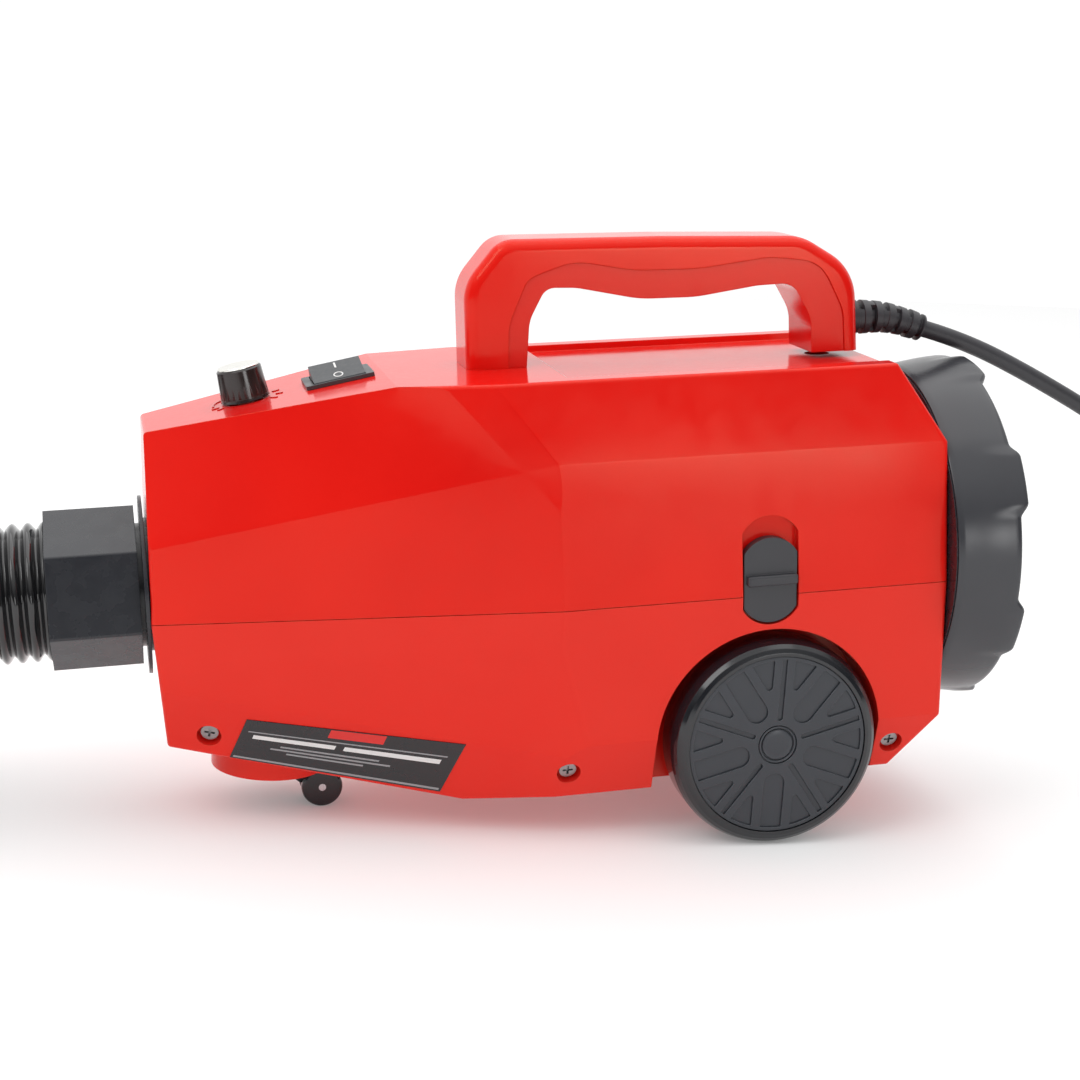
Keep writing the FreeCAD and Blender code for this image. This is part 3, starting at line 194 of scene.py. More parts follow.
RED = (0.74, 0.0080, 0.0058)
# the edge colours below paint the lighter lines along edges: partly wear, partly painted highlight
M = {
    "red": surface("red moulding", RED, 0.13, spec=0.32, tint=(1.0, 0.80, 0.55), var=0.02, rvar=0.03, wave=0.035, wave_scale=55.0, grain=0.015, grain_scale=2200.0, edge=0.45,
                   edge_r=0.0006, edge_col=(0.90, 0.10, 0.05), dust=0.02, alt=(0.79, 0.011, 0.0070)),
    "red_low": surface("red moulding lower", (0.78, 0.015, 0.0095), 0.22, spec=0.36, tint=(1.0, 0.85, 0.65), var=0.02, rvar=0.04, wave=0.04, wave_scale=60.0, grain=0.04, grain_scale=2600.0,
                       edge=0.45, edge_r=0.0006, edge_col=(0.90, 0.12, 0.06), dust=0.02, alt=(0.79, 0.019, 0.012)),
    "red_grip": surface("red grip moulding", (0.72, 0.008, 0.007), 0.17, spec=0.36, tint=(1.0, 0.82, 0.60), var=0.025, rvar=0.04, wave=0.04, grain=0.025, edge=0.4, edge_col=(0.88, 0.09, 0.05)),
    "black_satin": surface("black satin", (0.0150, 0.0165, 0.0215), 0.27, var=0.10, rvar=0.05, grain=0.10, grain_scale=2600.0, edge=0.5, edge_r=0.0006, edge_col=(0.10, 0.10, 0.11), specks=0.08),
    "black_latch": surface("black latch", (0.031, 0.031, 0.036), 0.36, var=0.08, rvar=0.05, grain=0.14, grain_scale=2600.0, edge=0.5, edge_r=0.0006, edge_col=(0.11, 0.11, 0.12), specks=0.08),
    "black_cap": surface("black cap", (0.040, 0.041, 0.047), 0.24, var=0.05, rvar=0.03, grain=0.07, grain_scale=2400.0),
    "black_gloss": surface("black gloss", (0.010, 0.010, 0.012), 0.16, coat=0.3, coat_r=0.06, var=0.15, rvar=0.04, wave=0.04, wave_scale=120.0, grain=0.02),
    "knob": surface("knob body", (0.016, 0.009, 0.008), 0.22, coat=0.3, coat_r=0.08, var=0.2, rvar=0.06, grain=0.05, edge=0.4, edge_r=0.0003, edge_col=(0.08, 0.05, 0.04)),
    "silver": surface("turned aluminium", (0.86, 0.85, 0.80), 0.22, metallic=1.0, var=0.04, rvar=0.05, grain=0.1, grain_scale=3000.0, aniso=0.4),
    "rocker": surface("rocker", (0.050, 0.055, 0.060), 0.36, var=0.08, rvar=0.05, grain=0.18, grain_scale=3200.0, edge=0.4, edge_r=0.0004, edge_col=(0.12, 0.12, 0.13), dust=0.06),
    "tyre": surface("tyre", (0.010, 0.011, 0.014), 0.15, coat=0.3, coat_r=0.08, var=0.12, rvar=0.04, wave=0.03, grain=0.04, edge=0.3, edge_r=0.0005, edge_col=(0.05, 0.05, 0.055)),
    "disc": surface("wheel disc", (0.030, 0.034, 0.042), 0.34, var=0.08, rvar=0.06, grain=0.25, grain_scale=2400.0, edge=0.7, edge_r=0.0004, edge_col=(0.14, 0.15, 0.165), dust=0.02, specks=0.06),
    "steel": surface("steel", (0.60, 0.60, 0.61), 0.28, metallic=1.0, var=0.06, rvar=0.08, grain=0.1, aniso=0.3),
    "zinc": surface("zinc plated", (0.34, 0.33, 0.33), 0.38, metallic=1.0, var=0.12, rvar=0.1, grain=0.12),
    "copper": surface("copper winding", (0.72, 0.34, 0.15), 0.3, metallic=1.0, var=0.1, rvar=0.08, grain=0.25, grain_scale=1200.0),
    "aluminium": surface("aluminium", (0.76, 0.76, 0.77), 0.34, metallic=1.0, var=0.05, rvar=0.08, grain=0.2),
    "foam": surface("foam", (0.045, 0.045, 0.05), 0.95, var=0.35, scale=600.0, rvar=0.02, grain=1.0, grain_scale=900.0, spec=0.2),
    "rubber": surface("rubber", (0.030, 0.030, 0.033), 0.6, var=0.12, rvar=0.08, grain=0.25, grain_scale=1800.0),
    "cord": surface("cord jacket", (0.036, 0.035, 0.040), 0.42, var=0.1, rvar=0.06, grain=0.2, grain_scale=2000.0, scale=60.0),
    "plastic_grey": surface("grey moulding", (0.26, 0.27, 0.29), 0.45, var=0.06, rvar=0.08, grain=0.15),
    "board": surface("board", (0.02, 0.20, 0.09), 0.3, coat=0.3, var=0.1, rvar=0.05, grain=0.1),
    "label": surface("label film", (0.012, 0.012, 0.014), 0.26, coat=0.2, coat_r=0.1, var=0.1, rvar=0.04, grain=0.04),
    "print_grey": surface("label print grey", (0.30, 0.30, 0.31), 0.4, var=0.06, rvar=0.05, grain=0.05),
    "print_white": surface("print white", (0.75, 0.75, 0.74), 0.4, var=0.05, rvar=0.05, grain=0.05),
    "print_red": surface("label print red", (0.70, 0.02, 0.015), 0.35, var=0.05, rvar=0.05, grain=0.05),
    "hose": surface("hose", (0.007, 0.007, 0.008), 0.11, coat=0.5, coat_r=0.04, var=0.2, rvar=0.04, wave=0.05, wave_scale=150.0, grain=0.02),
}
USE = {
    "upper_shell": "red", "lower_shell": "red_low", "handle_cover": "red", "handle_grip": "red_grip", "case_screws": "zinc", "outlet_socket": "black_satin",
    "hose_nut": "black_satin", "hose_cuff": "black_gloss", "air_duct": "plastic_grey", "motor_can": "zinc", "motor_stator": "copper", "motor_shaft": "steel",
    "motor_rotor": "steel", "commutator": "copper", "carbon_brushes": "rubber", "front_bearing": "steel", "rear_bearing": "steel", "fan_plate": "aluminium",
    "impeller": "aluminium", "fan_housing": "aluminium", "motor_ring_front": "rubber", "motor_ring_rear": "rubber", "motor_cradle": "plastic_grey",
    "intake_ring": "black_satin", "filter_foam": "foam", "rear_cap": "black_cap", "speed_pot": "plastic_grey", "pot_nut": "steel", "knob": "knob", "knob_cap": "silver",
    "switch_body": "rocker", "switch_tabs": "steel", "rocker": "rocker", "control_board": "board", "heat_sink": "aluminium", "board_posts": "red",
    "latch_right": "black_latch", "latch_left": "black_latch", "tyre_right": "tyre", "wheel_disc_right": "disc", "tyre_left": "tyre", "wheel_disc_left": "disc",
    "axle": "steel", "axle_clips": "steel", "axle_bushes": "plastic_grey", "caster_boss": "red_low", "caster_stem": "steel", "caster_fork": "black_satin",
    "caster_wheels": "tyre", "caster_pin": "steel", "rating_label": "label", "cord_boot": "cord", "power_cord": "cord", "cord_coil": "cord", "plug_body": "cord",
    "plug_pins": "steel", "hose": "hose", "hose_nozzle": "black_satin",
}
for n, o in NODE.items():
    o.data.materials.clear()
    o.data.materials.append(M[USE[n]])
for n in ("upper_shell", "lower_shell", "handle_cover", "handle_grip", "hose_nut", "outlet_socket", "latch_right", "latch_left", "rating_label", "switch_body", "rocker"):
    es = NODE[n].modifiers.new("facets", "EDGE_SPLIT")
    es.split_angle = math.radians(7.0)
    es.use_edge_sharp = True
    wnm = NODE[n].modifiers.new("flats", "WEIGHTED_NORMAL")
    wnm.mode = "FACE_AREA"
    wnm.weight = 80
    wnm.keep_sharp = True


# ------------------------------------------------------------------ mesh helpers
def mesh(name, verts, faces, mat, body, smooth=True, sharp=None):
    me = bpy.data.meshes.new(name)
    me.from_pydata([tuple(v) for v in verts], [], faces)
    me.validate()
    me.update()
    o = bpy.data.objects.new(name, me)
    bpy.context.scene.collection.objects.link(o)
    me.materials.append(M[mat])
    if smooth:
        me.polygons.foreach_set("use_smooth", [True] * len(me.polygons))
        if sharp is not None:
            me.set_sharp_from_angle(angle=math.radians(sharp))
    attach(o, body)
    return o


def basis(d):
    d = Vector(d).normalized()
    a = Vector((0, 0, 1)) if abs(d.z) < 0.9 else Vector((0, 1, 0))
    u = d.cross(a).normalized()
    return d, u, d.cross(u)


def lathe_pts(profile, base, axis, seg=48):
    """profile: (radius, distance along the axis), closed over itself by the caller."""
    d, u, v = basis(axis)
    vs, fs = [], []
    for r, t in profile:
        for k in range(seg):
            a = 2 * math.pi * k / seg
            vs.append(Vector(base) + d * t + u * (r * math.cos(a)) + v * (r * math.sin(a)))
    n = len(profile)
    for i in range(n - 1):
        for k in range(seg):
            fs.append((i * seg + k, i * seg + (k + 1) % seg, (i + 1) * seg + (k + 1) % seg, (i + 1) * seg + k))
    return vs, fs


def capped(profile, base, axis, seg=48):
    vs, fs = lathe_pts(profile, base, axis, seg)
    n = len(profile)
    fs.append(tuple(range(seg))[::-1])
    fs.append(tuple((n - 1) * seg + k for k in range(seg)))
    return vs, fs


def spline_obj(name, pts, closed=False, bevel=0.0, res=12):
    cu = bpy.data.curves.new(name, "CURVE")
    cu.dimensions = "3D"
    s = cu.splines.new("NURBS")
    s.points.add(len(pts) - 1)
    for p, q in zip(s.points, pts):
        p.co = (q[0], q[1], q[2], 1.0)
    s.order_u = 3
    s.use_endpoint_u = True
    s.resolution_u = res
    cu.bevel_depth = bevel
    cu.bevel_resolution = 5
    cu.use_fill_caps = True
    o = bpy.data.objects.new(name, cu)
    bpy.context.scene.collection.objects.link(o)
    return o


def centreline(pts, res=24):
    o = spline_obj("line", pts, res=res)
    bpy.context.view_layer.update()
    dg = bpy.context.evaluated_depsgraph_get()
    me = bpy.data.meshes.new_from_object(o.evaluated_get(dg))
    out = [v.co.copy() for v in me.vertices]
    bpy.data.objects.remove(o)
    bpy.data.meshes.remove(me)
    return out


def resample(path, step):
    acc = [0.0]
    for a, b in zip(path, path[1:]):
        acc.append(acc[-1] + (b - a).length)
    L = acc[-1]
    n = max(2, int(round(L / step)))
    out, j = [], 0
    for i in range(n + 1):
        t = L * i / n
        while j < len(path) - 2 and acc[j + 1] < t:
            j += 1
        f = (t - acc[j]) / max(acc[j + 1] - acc[j], 1e-9)
        out.append(path[j].lerp(path[j + 1], min(max(f, 0.0), 1.0)))
    return out, L


def frames(path):
    """Rotation-minimising frames along a path."""
    tans = []
    for i in range(len(path)):
        a, b = path[max(i - 1, 0)], path[min(i + 1, len(path) - 1)]
        tans.append((b - a).normalized())
    u = tans[0].cross(Vector((0, 0, 1)))
    if u.length < 0.1:
        u = tans[0].cross(Vector((0, 1, 0)))
    u.normalize()
    out = []
    for i, t in enumerate(tans):
        u = (u - t * u.dot(t)).normalized()
        out.append((t, u, t.cross(u)))
    return out


# ------------------------------------------------------------------ hose: corrugated, limp, lying on the floor beside the machine
h0 = bw(-0.04652, 0, 0.1296)
hd = Vector((-CT, 0, -ST))
HOSE = [h0, h0 + hd * 0.118, Vector((h0.x - 0.232, 0.008, 0.0332)), Vector((h0.x - 0.356, 0.044, 0.0326)), Vector((h0.x - 0.456, 0.146, 0.0326)),
        Vector((h0.x - 0.484, 0.290, 0.0326)), Vector((h0.x - 0.440, 0.416, 0.0326)), Vector((h0.x - 0.332, 0.496, 0.0326)), Vector((h0.x - 0.202, 0.506, 0.0326))]
raw = centreline(HOSE, 40)
PITCH, PER = 0.0068, 8
hp, HL = resample(raw, PITCH / PER)
fr = frames(hp)
SEG = 44
vs, fs = [], []
for i, (p, (t, u, v)) in enumerate(zip(hp, fr)):
    ph = (i % PER) / PER
    c = 0.5 + 0.5 * math.cos(2 * math.pi * ph)
    r = 0.0284 + 0.0035 * c ** 0.55
    for k in range(SEG):
        a = 2 * math.pi * k / SEG
        vs.append(p + u * (r * math.cos(a)) + v * (r * math.sin(a)))
n = len(hp)
for i in range(n - 1):
    for k in range(SEG):
        fs.append((i * SEG + k, i * SEG + (k + 1) % SEG, (i + 1) * SEG + (k + 1) % SEG, (i + 1) * SEG + k))
# inner wall, open at the nozzle end and at the cuff
base = len(vs)
step = PER
idx = list(range(0, n, step))
if idx[-1] != n - 1:
    idx.append(n - 1)
for i in idx:
    p, (t, u, v) = hp[i], fr[i]
    for k in range(SEG):
        a = 2 * math.pi * k / SEG
        vs.append(p + u * (0.0266 * math.cos(a)) + v * (0.0266 * math.sin(a)))
for j in range(len(idx) - 1):
    for k in range(SEG):
        fs.append((base + j * SEG + (k + 1) % SEG, base + j * SEG + k, base + (j + 1) * SEG + k, base + (j + 1) * SEG + (k + 1) % SEG))
for ring0, ring1, flip in ((0, base, True), ((n - 1) * SEG, base + (len(idx) - 1) * SEG, False)):
    for k in range(SEG):
        q = (ring0 + k, ring0 + (k + 1) % SEG, ring1 + (k + 1) % SEG, ring1 + k)
        fs.append(q[::-1] if flip else q)
hose = mesh("corrugated_hose", vs, fs, "hose", "case", smooth=True)
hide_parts("hose")

# nozzle: collar with grip rings, tapered barrel, rolled mouth
he = HOSE[-1]
hn = (HOSE[-1] - HOSE[-2]).normalized()
prof = [(0.0266, 0.0), (0.0322, 0.0), (0.0324, 0.001)]
for k in range(6):
    t = 0.003 + 0.0042 * k
    prof += [(0.0324, t), (0.0316, t + 0.0008), (0.0316, t + 0.0022), (0.0324, t + 0.0030)]
prof += [(0.0324, 0.0295), (0.0318, 0.032), (0.0303, 0.0345)]
for k in range(1, 12):
    f = k / 11.0
    prof.append((0.0303 + (0.0156 - 0.0303) * (f ** 0.92), 0.0345 + 0.0835 * f))
prof += [(0.0155, 0.1200), (0.0153, 0.1300), (0.0158, 0.1318), (0.0156, 0.1340), (0.0128, 0.1340), (0.0125, 0.1325), (0.0125, 0.1170)]
for k in range(1, 8):
    f = k / 7.0
    prof.append((0.0125 + (0.0266 - 0.0125) * f, 0.1170 - 0.0830 * f))
prof.append((0.0266, 0.0))
vs, fs = lathe_pts(prof, he + hn * 0.00002, hn, 64)
nozzle = mesh("nozzle", vs, fs, "black_satin", "case", smooth=True, sharp=35)
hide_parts("hose_nozzle")

# ------------------------------------------------------------------ mains lead
ex = bw(0.3365, 0.0, 0.2372)
A = Vector((ex.x + 0.03858, 0.0, ex.z - 0.0036))
CX, CY, CR = 0.520, 0.062, 0.046
pts = [A, Vector((A.x + 0.023, 0.0, A.z - 0.0052)), Vector((A.x + 0.063, 0.0, A.z - 0.022)), Vector((A.x + 0.116, 0.001, A.z - 0.0485)),
       Vector((A.x + 0.168, 0.004, A.z - 0.094)), Vector((A.x + 0.206, 0.008, A.z - 0.160)), Vector((A.x + 0.244, 0.011, 0.031)), Vector((A.x + 0.290, 0.009, 0.0052))]
K = 0.966
LAYER = ((2.0, 0.0546, 0.0374), (2.0, 0.0374, 0.0546), (2.0, 0.0546, 0.0374), (1.5, 0.0374, 0.0503))
ang, z = -90.0, 0.0047
STEP = 30.0
for li, (turns, r0, r1) in enumerate(LAYER):
    k = int(round(turns * 360 / STEP))
    for i in range(k):
        f = i / k
        r = (r0 + (r1 - r0) * f) / K
        a = math.radians(ang)
        pts.append(Vector((CX + r * math.cos(a), CY + r * math.sin(a), z)))
        ang += STEP
    if li < 3:
        for i in range(3):
            f = i / 3.0
            a = math.radians(ang)
            pts.append(Vector((CX + r1 / K * math.cos(a), CY + r1 / K * math.sin(a), z + 0.0085 * (3 * f * f - 2 * f ** 3))))
            ang += STEP
        z += 0.0085
pts += [Vector((CX + 0.0515, CY + 0.004, 0.0300)), Vector((CX + 0.049, CY + 0.040, 0.025)), Vector((CX + 0.034, CY + 0.080, 0.0100)), Vector((CX - 0.004, CY + 0.108, 0.0105))]
lead = spline_obj("mains_lead", pts, bevel=0.0042, res=10)
lead.data.materials.append(M["cord"])
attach(lead, "case")
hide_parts("power_cord", "cord_coil")
cl = centreline(pts, 16)

# cable tie of hook-and-loop tape round the coil
tie_v, tie_f = [], []
a0 = math.radians(205)
er = Vector((math.cos(a0), math.sin(a0), 0))
et = Vector((-math.sin(a0), math.cos(a0), 0))
cc = Vector((CX, CY, 0.0176)) + er * CR
N = 40
for side in (-0.008, 0.008):
    for off in (0.0, 0.0011):
        for k in range(N):
            a = 2 * math.pi * k / N
            c, s_ = math.cos(a), math.sin(a)
            sx = math.copysign(abs(c) ** 0.42, c) * (0.0134 + off)
            sz = math.copysign(abs(s_) ** 0.42, s_) * (0.0166 + off * 0.8)
            tie_v.append(cc + er * sx + Vector((0, 0, sz)) + et * side)
for k in range(N):
    q = (k + 1) % N
    tie_f += [(k, q, 2 * N + q, 2 * N + k), (N + q, N + k, 3 * N + k, 3 * N + q), (k, N + k, N + q, q), (2 * N + q, 3 * N + q, 3 * N + k, 2 * N + k)]
tie = mesh("lead_tie", tie_v, tie_f, "rubber", "case", smooth=True, sharp=40)

# plug: sleeve, moulded body with finger grips, faceplate
pe = pts[-1]
pdir = (pts[-1] - pts[-2])
pdir.z = 0
pdir.normalize()
pside = Vector((-pdir.y, pdir.x, 0))
UPZ = Vector((0, 0, 1))


def rounded_box(name, c, dx, dy, dz, half, r, mat, body, seg=4):
    """Box with rounded edges; c centre, dx dy dz unit axes, half sizes."""
    import bmesh
    bm = bmesh.new()
    bmesh.ops.create_cube(bm, size=2.0)
    for v in bm.verts:
        v.co = Vector((v.co.x * half[0], v.co.y * half[1], v.co.z * half[2]))
    bmesh.ops.bevel(bm, geom=list(bm.edges), offset=r, segments=seg, affect="EDGES", profile=0.5)
    m = Matrix((dx, dy, dz)).transposed()
    for v in bm.verts:
        v.co = c + m @ v.co
    me = bpy.data.meshes.new(name)
    bm.to_mesh(me)
    bm.free()
    o = bpy.data.objects.new(name, me)
    bpy.context.scene.collection.objects.link(o)
    me.materials.append(M[mat])
    me.polygons.foreach_set("use_smooth", [True] * len(me.polygons))
    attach(o, body)
    return o


body_c = pe + pdir * 0.0305
body_c.z = 0.0105
plug = rounded_box("plug_moulding", body_c, pdir, pside, UPZ, (0.0136, 0.0119, 0.0100), 0.0032, "cord", "case")
face_c = pe + pdir * 0.0464
face_c.z = 0.0114
plugf = rounded_box("plug_face", face_c, pdir, pside, UPZ, (0.0024, 0.0148, 0.0109), 0.0016, "cord", "case")
prof = []
for k in range(6):
    t0 = 0.0002 + k * 0.0031
    rr = 0.0054 + 0.0019 * (k / 5.0)
    prof += [(rr, t0), (rr, t0 + 0.0019), (rr - 0.0011, t0 + 0.0021), (rr - 0.0011, t0 + 0.0029)]
vs, fs = capped(prof, pe, pdir, 32)
plugs = mesh("plug_sleeve", vs, fs, "cord", "case", sharp=35)
for s_ in (-1, 1):
    for k in range(4):
        c = body_c + pside * (0.0117 * s_) + pdir * (-0.008 + 0.005 * k)
        rounded_box(f"plug_grip_{'l' if s_ < 0 else 'r'}{k}", c, pdir, pside, UPZ, (0.0011, 0.0008, 0.0072), 0.0006, "cord", "case", 2)
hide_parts("plug_body")

# strain relief: rings joined by bridges that swap sides, on a slightly drooping line
bl = centreline([bw(0.3305, 0, 0.2372), Vector((ex.x + 0.008, 0, ex.z + 0.0008)), Vector((ex.x + 0.024, 0, ex.z + 0.0008)), A + Vector((0.0004, 0, -0.0001))], 40)
bl, BL = resample(bl, 0.0003)
bf = frames(bl)
SEGB = 64
vs, fs = [], []
out0 = next(i for i, p in enumerate(bl) if p.x > ex.x + 0.0004)
lenb = (len(bl) - 1 - out0) * 0.0003
for i, (p, (t, u, v)) in enumerate(zip(bl, bf)):
    s_ = (i - out0) * 0.0003
    R = 0.0087 - 0.0026 * max(0.0, s_) / lenb
    if s_ < 0:
        R = 0.0063
        cell = -1
    else:
        cell = int(s_ // 0.0063)
        w = s_ - cell * 0.0063
    for k in range(SEGB):
        a = 2 * math.pi * k / SEGB
        r = R
        if s_ >= 0 and w > 0.0037 and cell < 5:
            # window between two rings; bridged top and bottom or on both flanks
            c = abs(math.cos(a)) if cell % 2 == 0 else abs(math.sin(a))
            r = (R - 0.0004) if c > 0.80 else 0.0050
        if s_ >= 0 and cell >= 5:
            r = R + 0.0004 if w < 0.004 else max(0.0047, R - 0.0006 - (w - 0.004) * 0.6)
        vs.append(p + u * (r * math.cos(a)) + v * (r * math.sin(a)))
nb = len(bl)
for i in range(nb - 1):
    for k in range(SEGB):
        fs.append((i * SEGB + k, i * SEGB + (k + 1) % SEGB, (i + 1) * SEGB + (k + 1) % SEGB, (i + 1) * SEGB + k))
fs.append(tuple(range(SEGB))[::-1])
fs.append(tuple((nb - 1) * SEGB + k for k in range(SEGB)))
boot = mesh("strain_relief", vs, fs, "cord", "case", sharp=40)
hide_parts("cord_boot")

# ------------------------------------------------------------------ marks on the rocker and the deck
SL = 0.1727
PS = math.atan(SL)


def deck(x):
    return 0.2046 + SL * x


def tipped(cx, x, y, h):
    """Point on or above the control panel: x along it, y across, h above it, about the panel point at cx."""
    cz = deck(cx)
    c, s_ = math.cos(PS), math.sin(PS)
    dx, dz = x - cx, h
    return bw(cx + dx * c - dz * s_, y, cz + dx * s_ + dz * c)


RX = 0.0896
RA = math.radians(18.5)


def on_rocker(x, y, h=0.0054):
    """x, y on the rocker's face, before it is tilted by its angle about the pin."""
    py, pz = y, h + 0.003
    yy = py * math.cos(RA) - pz * math.sin(RA)
    zz = py * math.sin(RA) + pz * math.cos(RA)
    return tipped(RX, RX + x, yy, zz - 0.003)


def strip(name, path, width, top, mat, body, fn, closed=False):
    """Flat raised strip along a 2-D path, laid on a surface by fn(x, y, h)."""
    vs, fs = [], []
    n = len(path)
    for i, (x, y) in enumerate(path):
        a = path[(i - 1) % n] if (closed or i > 0) else path[i]
        b = path[(i + 1) % n] if (closed or i < n - 1) else path[i]
        tx, ty = b[0] - a[0], b[1] - a[1]
        l = math.hypot(tx, ty)
        nx, ny = -ty / l, tx / l
        for sgn, h in ((-1, -0.0001), (-1, top), (1, top), (1, -0.0001)):
            vs.append(fn(x + nx * width / 2 * sgn, y + ny * width / 2 * sgn, h))
    m = n if closed else n - 1
    for i in range(m):
        j = (i + 1) % n
        for k in range(4):
            q = (k + 1) % 4
            fs.append((i * 4 + k, i * 4 + q, j * 4 + q, j * 4 + k))
    if not closed:
        fs.append((3, 2, 1, 0))
        e = (n - 1) * 4
        fs.append((e, e + 1, e + 2, e + 3))
    return mesh(name, vs, fs, mat, body, smooth=False)


strip("rocker_mark_on", [(0.0, 0.0020), (0.0, 0.0068)], 0.0009, 0.00012, "print_white", "power_rocker", lambda x, y, h: on_rocker(x, y, 0.0054 + h))
ring = [(0.0020 * math.cos(2 * math.pi * k / 28), -0.0048 + 0.0020 * math.sin(2 * math.pi * k / 28)) for k in range(28)]
strip("rocker_mark_off", ring, 0.0006, 0.00012, "print_white", "power_rocker", lambda x, y, h: on_rocker(x, y, 0.0054 + h), closed=True)
# raised scale round the knob: a tapering arc with end ticks, in the moulding's own colour
KX = 0.0472


def panel(x, y, h):
    return tipped(KX, x, y, h)


for k, a in enumerate((-38, -8, 22, 202, 218)):
    a = math.radians(a)
    strip(f"scale_tick_{k}", [(KX + 0.0138 * math.cos(a), 0.0138 * math.sin(a)), (KX + 0.0172 * math.cos(a), 0.0172 * math.sin(a))], 0.0012, 0.0004, "red", "case", panel)
arc = [(KX + 0.0152 * math.cos(math.radians(a)), 0.0152 * math.sin(math.radians(a))) for a in range(60, 190, 6)]
strip("scale_arc", arc, 0.0010, 0.0004, "red", "case", panel)

# ------------------------------------------------------------------ printing on the rating plate: bars only
F0, F1, F2 = Vector((-0.0005, -0.0402, 0.0902)), Vector((0.1345, -0.059, 0.0602)), Vector((0.136, -0.0485, 0.0276))
nn = (F1 - F0).cross(F2 - F0).normalized()
if nn.y > 0:
    nn = -nn
LAB = [(0.0370, 0.0748), (0.1341, 0.0589), (0.1232, 0.0331), (0.0289, 0.0547)]


def skirt(x, z, off):
    y = F0.y - ((x - F0.x) * nn.x + (z - F0.z) * nn.z) / nn.y
    return Vector((x, y, z)) + nn * off


def lab_pt(u, v, h):
    """u along the plate 0..1, v from its lower edge 0..1."""
    top = [LAB[0][i] + (LAB[1][i] - LAB[0][i]) * u for i in (0, 1)]
    low = [LAB[3][i] + (LAB[2][i] - LAB[3][i]) * u for i in (0, 1)]
    x = low[0] + (top[0] - low[0]) * v
    z_ = low[1] + (top[1] - low[1]) * v
    p = skirt(x, z_, 0.00037 + h)
    return bw(p.x, p.y, p.z)


def bar(name, u0, v0, u1, v1, mat, h=0.00006):
    vs = [lab_pt(u, v, hh) for hh in (-0.0001, h) for u, v in ((u0, v0), (u1, v0), (u1, v1), (u0, v1))]
    fs = [(4, 5, 6, 7), (0, 1, 5, 4), (1, 2, 6, 5), (2, 3, 7, 6), (3, 0, 4, 7), (3, 2, 1, 0)]
    return mesh(name, vs, fs, mat, "case", smooth=False)


bar("plate_tab", 0.385, 0.80, 0.640, 0.985, "print_red")
bar("plate_foot", 0.012, 0.03, 0.988, 0.07, "print_grey")
bar("plate_rule", 0.03, 0.70, 0.95, 0.725, "print_grey")
BARS = [(0.06, 0.55, 0.44, 0.64), (0.48, 0.55, 0.93, 0.64), (0.20, 0.42, 0.66, 0.455), (0.16, 0.345, 0.72, 0.38), (0.24, 0.27, 0.60, 0.305)]
for k, (a, b_, c, d) in enumerate(BARS):
    bar(f"plate_bar_{k}", a, b_, c, d, "print_white" if k < 2 else "print_grey")

# ------------------------------------------------------------------ wheel discs: pierced face plate over a pocket floor, barrel and hub behind
WCX, WCZ = 0.10725, 0.0500
FACE_Y = 0.0728


def outline(cu, pts):
    sp_ = cu.splines.new("POLY")
    sp_.points.add(len(pts) - 1)
    for p, q in zip(sp_.points, pts):
        p.co = (q[0], q[1], 0.0, 1.0)
    sp_.use_cyclic_u = True


def pol(r, deg):
    return (r * math.cos(math.radians(deg)), r * math.sin(math.radians(deg)))


def turned(pts, deg):
    c, s_ = math.cos(math.radians(deg)), math.sin(math.radians(deg))
    return [(x * c - y * s_, x * s_ + y * c) for x, y in pts]


def rounded(pts, radii, seg=5):
    """Polygon with each corner rounded by its radius."""
    out = []
    n_ = len(pts)
    for i in range(n_):
        p0, p1, p2 = Vector(pts[i - 1]), Vector(pts[i]), Vector(pts[(i + 1) % n_])
        r = radii[i]
        if r <= 0:
            out.append(tuple(p1))
            continue
        a, b = (p0 - p1).normalized(), (p2 - p1).normalized()
        half = math.acos(max(-1.0, min(1.0, a.dot(b)))) / 2
        d = r / math.tan(half)
        c = p1 + (a + b).normalized() * (r / math.sin(half))
        q0, q1 = p1 + a * d, p1 + b * d
        v0, v1 = q0 - c, q1 - c
        ang_ = math.atan2(v0.x * v1.y - v0.y * v1.x, v0.dot(v1))
        for k in range(seg + 1):
            t = ang_ * k / seg
            out.append((c.x + v0.x * math.cos(t) - v0.y * math.sin(t), c.y + v0.x * math.sin(t) + v0.y * math.cos(t)))
    return out


